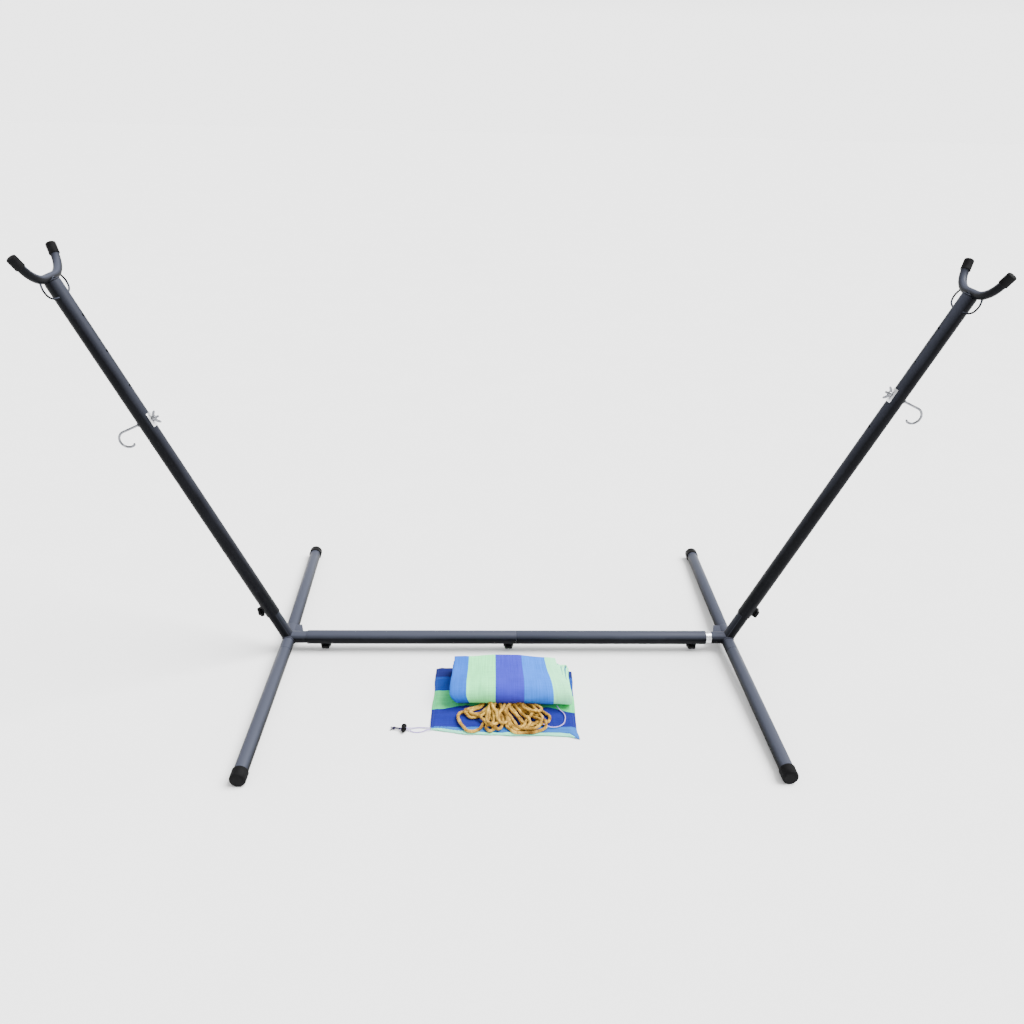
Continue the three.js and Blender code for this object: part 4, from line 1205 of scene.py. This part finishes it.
# ---------------------------------------------------------------- drawstrings, knot and cord lock
CORD_R = 1.4
DRAWCORDS = {
    "front": [(-198, -133, 4.2), (-205.6, -133, 4), (-212, -135, 3.4), (-221, -139, 2), (-232, -141.5, 1.7),
              (-243, -141.5, 1.7), (-252, -138.2, 2.8), (-259, -134.8, 4.8), (-265, -134, 5.8), (-272, -134, 5.9),
              (-280, -134, 5.8), (-287, -133.4, 4.8), (-294, -131, 4.2), (-298.5, -129.6, 4.6)],
    "rear": [(-198, -126, 4.2), (-205.6, -126, 4), (-212, -124.6, 3.2), (-221, -122.6, 1.8), (-232, -122.4, 1.7),
             (-243, -124.6, 2.2), (-252, -128.6, 4.8), (-259, -132, 7.8), (-265, -133.7, 9.1), (-272, -134, 9.3),
             (-280, -133.8, 8.9), (-287, -132.4, 7.8), (-294, -128.6, 6.6), (-298.5, -127.8, 4.8)],
}
TIE_R = 1.5
TIE_CORD = [(152, -30, 10.4), (159, -46, 10.0), (168, -58, 9.4), (173, -72, 9.1), (172, -90, 9.0), (167, -105, 9.0),
            (156, -116, 9.0), (143, -121, 9.2), (130, -122, 10.5), (119, -120, 13.0), (110, -116, 15.0)]
KNOT = np.array([-299.2, -128.6, 4.7])
TAILS = [[(-2, -1, 0), (-5, -2.4, -0.6), (-8, -4.4, -2.4), (-11, -5.2, -3.2)],
         [(-2, 1, 0.4), (-5, 2.6, -0.4), (-7.4, 5.2, -2.2), (-9.6, 8.0, -3.2)]]
LOCK_AT = np.array([-272.0, -120.5, 7.6])


def make_knot(material):
    """An overhand knot that holds both cord ends, with two short tails beyond it."""
    t = np.linspace(0, FULL, 97)
    loop = np.stack([1.25 * np.sin(3 * t), (2.1 + 0.95 * np.cos(3 * t)) * np.cos(2 * t),
                     (2.1 + 0.95 * np.cos(3 * t)) * np.sin(2 * t)], 1) * (1.5, 1.1, 1.0) + KNOT
    cords = [round_cord(loop, 1.35, braid, 0.5), *[round_cord(KNOT + tail, 1.35, tapered_braid) for tail in TAILS]]
    return soft_piece("cord_knot", [cord[:2] for cord in cords], "carry_bag", material,
                      ["drawstring_knot"])


def in_pack(shape):
    verts, faces = shape
    return [tuple(q) for q in pack(np.array(verts))], faces


def slot_bar(y, width, tall):
    """A bar along X with rounded corners, to cut the way for the cords."""
    outline, r = [], 1.2
    for k, (cy, cz) in enumerate([(1, 1), (-1, 1), (-1, -1), (1, -1)]):
        for t in [math.pi / 2 * (k + a / 5) for a in range(6)]:
            outline.append((y + cy * (width / 2 - r) + r * math.cos(t),
                            LOCK_AT[2] + cz * (tall / 2 - r) + r * math.sin(t)))
    return in_pack(prism(outline, LOCK_AT[0] - 15, LOCK_AT[0] + 15, lambda a, b, c: (c, a, b)))


def grips(r, h, t):
    """Shallow grip grooves round the lock's barrel, away from its ends."""
    if r < 7.2 or not 3 < h < 17.5:
        return r
    return r - 0.28 * (0.5 + 0.5 * math.cos(h * FULL / 2.4)) - 0.10 * max(0.0, math.cos(8 * t))


def make_cord_lock():
    way, floor, inner = (0.0, -1.0, 0.0), 1.6, 8.8
    outer = [(0, 0), (3.5, 0.0), (5.8, 0.25), (6.9, 0.9), (7.4, 1.8), (7.5, 2.6),
             *[(7.5, h) for h in np.arange(3.0, 17.6, 0.3)],
             (7.5, 18.6), (7.35, 19.3), (6.9, 19.8), (6.2, 20.0), (5.4, 20.0),
             (5.1, 19.8), (5.0, 19.4), (5.0, floor), (0, floor)]
    plunger = [(0, inner), (4.2, inner), (4.6, inner + 0.4), (4.7, inner + 1), (4.7, 24.6), (4.55, 25.6), (4.0, 26.5),
               (3.1, 27.0), (2.4, 26.95), (1.2, 26.75), (0, 26.7)]
    body = new_piece("lock_barrel", in_pack(revolve(outer, LOCK_AT, way, 48, grips)), "carry_bag", "lock_plastic",
                     ["cord_lock_body"])
    boolean(body, [slot_bar(-132.0, 7.0, 8.6)], "DIFFERENCE")
    button = new_piece("lock_button", in_pack(revolve(plunger, LOCK_AT, way, 48)), "cord_lock_button", "lock_plastic",
                       ["cord_lock_button"])
    boolean(button, [slot_bar(-136.0, 7.0, 7.4)], "DIFFERENCE")
    t = np.linspace(0, 1, 160)
    free = inner - floor - 0.7 - 0.6
    coil = LOCK_AT + np.stack([3.4 * np.cos(3 * FULL * t), -(floor + 0.3 + 0.35 + free * t), 3.4 * np.sin(3 * FULL * t)], 1)
    spring = new_piece("lock_spring", in_pack(sweep(coil, 0.35, 10)), "carry_bag", "zinc", ["cord_lock_spring"])
    base, tip = pack([(LOCK_AT[0], -122.2, LOCK_AT[2]), (LOCK_AT[0], -123.2, LOCK_AT[2])])
    tuple(unit(tip - base))
    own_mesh(spring)
    return body, button, spring


def make_drawstrings():
    """The bag's drawcords with their knot and lock, and a thin cord from under the roll's right end into the ropes."""
    material = cord_material()
    make_cord("tie_cord", round_cord(np.array(TIE_CORD), TIE_R, braid), TIE_R, "hammock_pack", "cotton_cord", material)
    extras = {"front": [make_knot(material), *make_cord_lock()], "rear": []}
    for end, line in DRAWCORDS.items():
        make_cord(f"drawcord_{end}", round_cord(np.array(line), CORD_R, braid), CORD_R, "carry_bag", "cotton_cord", material,
                  [f"drawstring_{end}"], far_end="knot", with_pieces=extras[end])


make_hammock()
make_ropes()
make_bag()
make_drawstrings()


# ---------------------------------------------------------------- floor and light
def make_floor(half=30.0):
    n = Nodes("floor")
    white = n.mix(n.grey(n.noise(3.0, 3.0), 0.0, 1.0, 0.3, 0.7), (0.90, 0.90, 0.90), (0.92, 0.92, 0.92))
    mesh = mesh_of("floor", [(-half, -half, 0), (half, -half, 0), (half, half, 0), (-half, half, 0)], [(0, 1, 2, 3)])
    mesh.materials.append(n.set(Base_Color=white, Roughness=0.9, Specular_IOR_Level=0.1))
    floor = add_object("floor", mesh)
    floor.location.z = -0.0004


def make_world():
    """As bright as the floor at the horizon, so that the two meet unseen, and dimmer above."""
    world = bpy.data.worlds.new("world")
    world.use_nodes = True
    tree = world.node_tree
    place, split, ramp = [tree.nodes.new("ShaderNode" + kind) for kind in ("TexCoord", "SeparateXYZ", "ValToRGB")]
    fill_ramp(ramp, [(at, (grey,) * 3) for at, grey in ((0.0, 1.0), (0.06, 1.0), (0.20, 0.42), (0.75, 0.30), (1.0, 0.5))])
    back = tree.nodes["Background"]
    tree.links.new(place.outputs["Generated"], split.inputs[0])
    tree.links.new(split.outputs["Z"], ramp.inputs["Fac"])
    tree.links.new(ramp.outputs["Color"], back.inputs["Color"])
    back.inputs["Strength"].default_value = 3.4
    scene.world = world


def make_sun(towards, strength, degrees):
    data = bpy.data.lights.new("overhead", "SUN")
    data.energy, data.angle = strength, math.radians(degrees)
    light = add_object("overhead", data)
    light.rotation_mode = "QUATERNION"
    light.rotation_quaternion = (-Vector(towards)).to_track_quat("-Z", "Y")
    light.location = (0, 0, 3)


make_floor()
make_world()
make_sun((0.55, 0.02, 0.86), 9.6, 42)
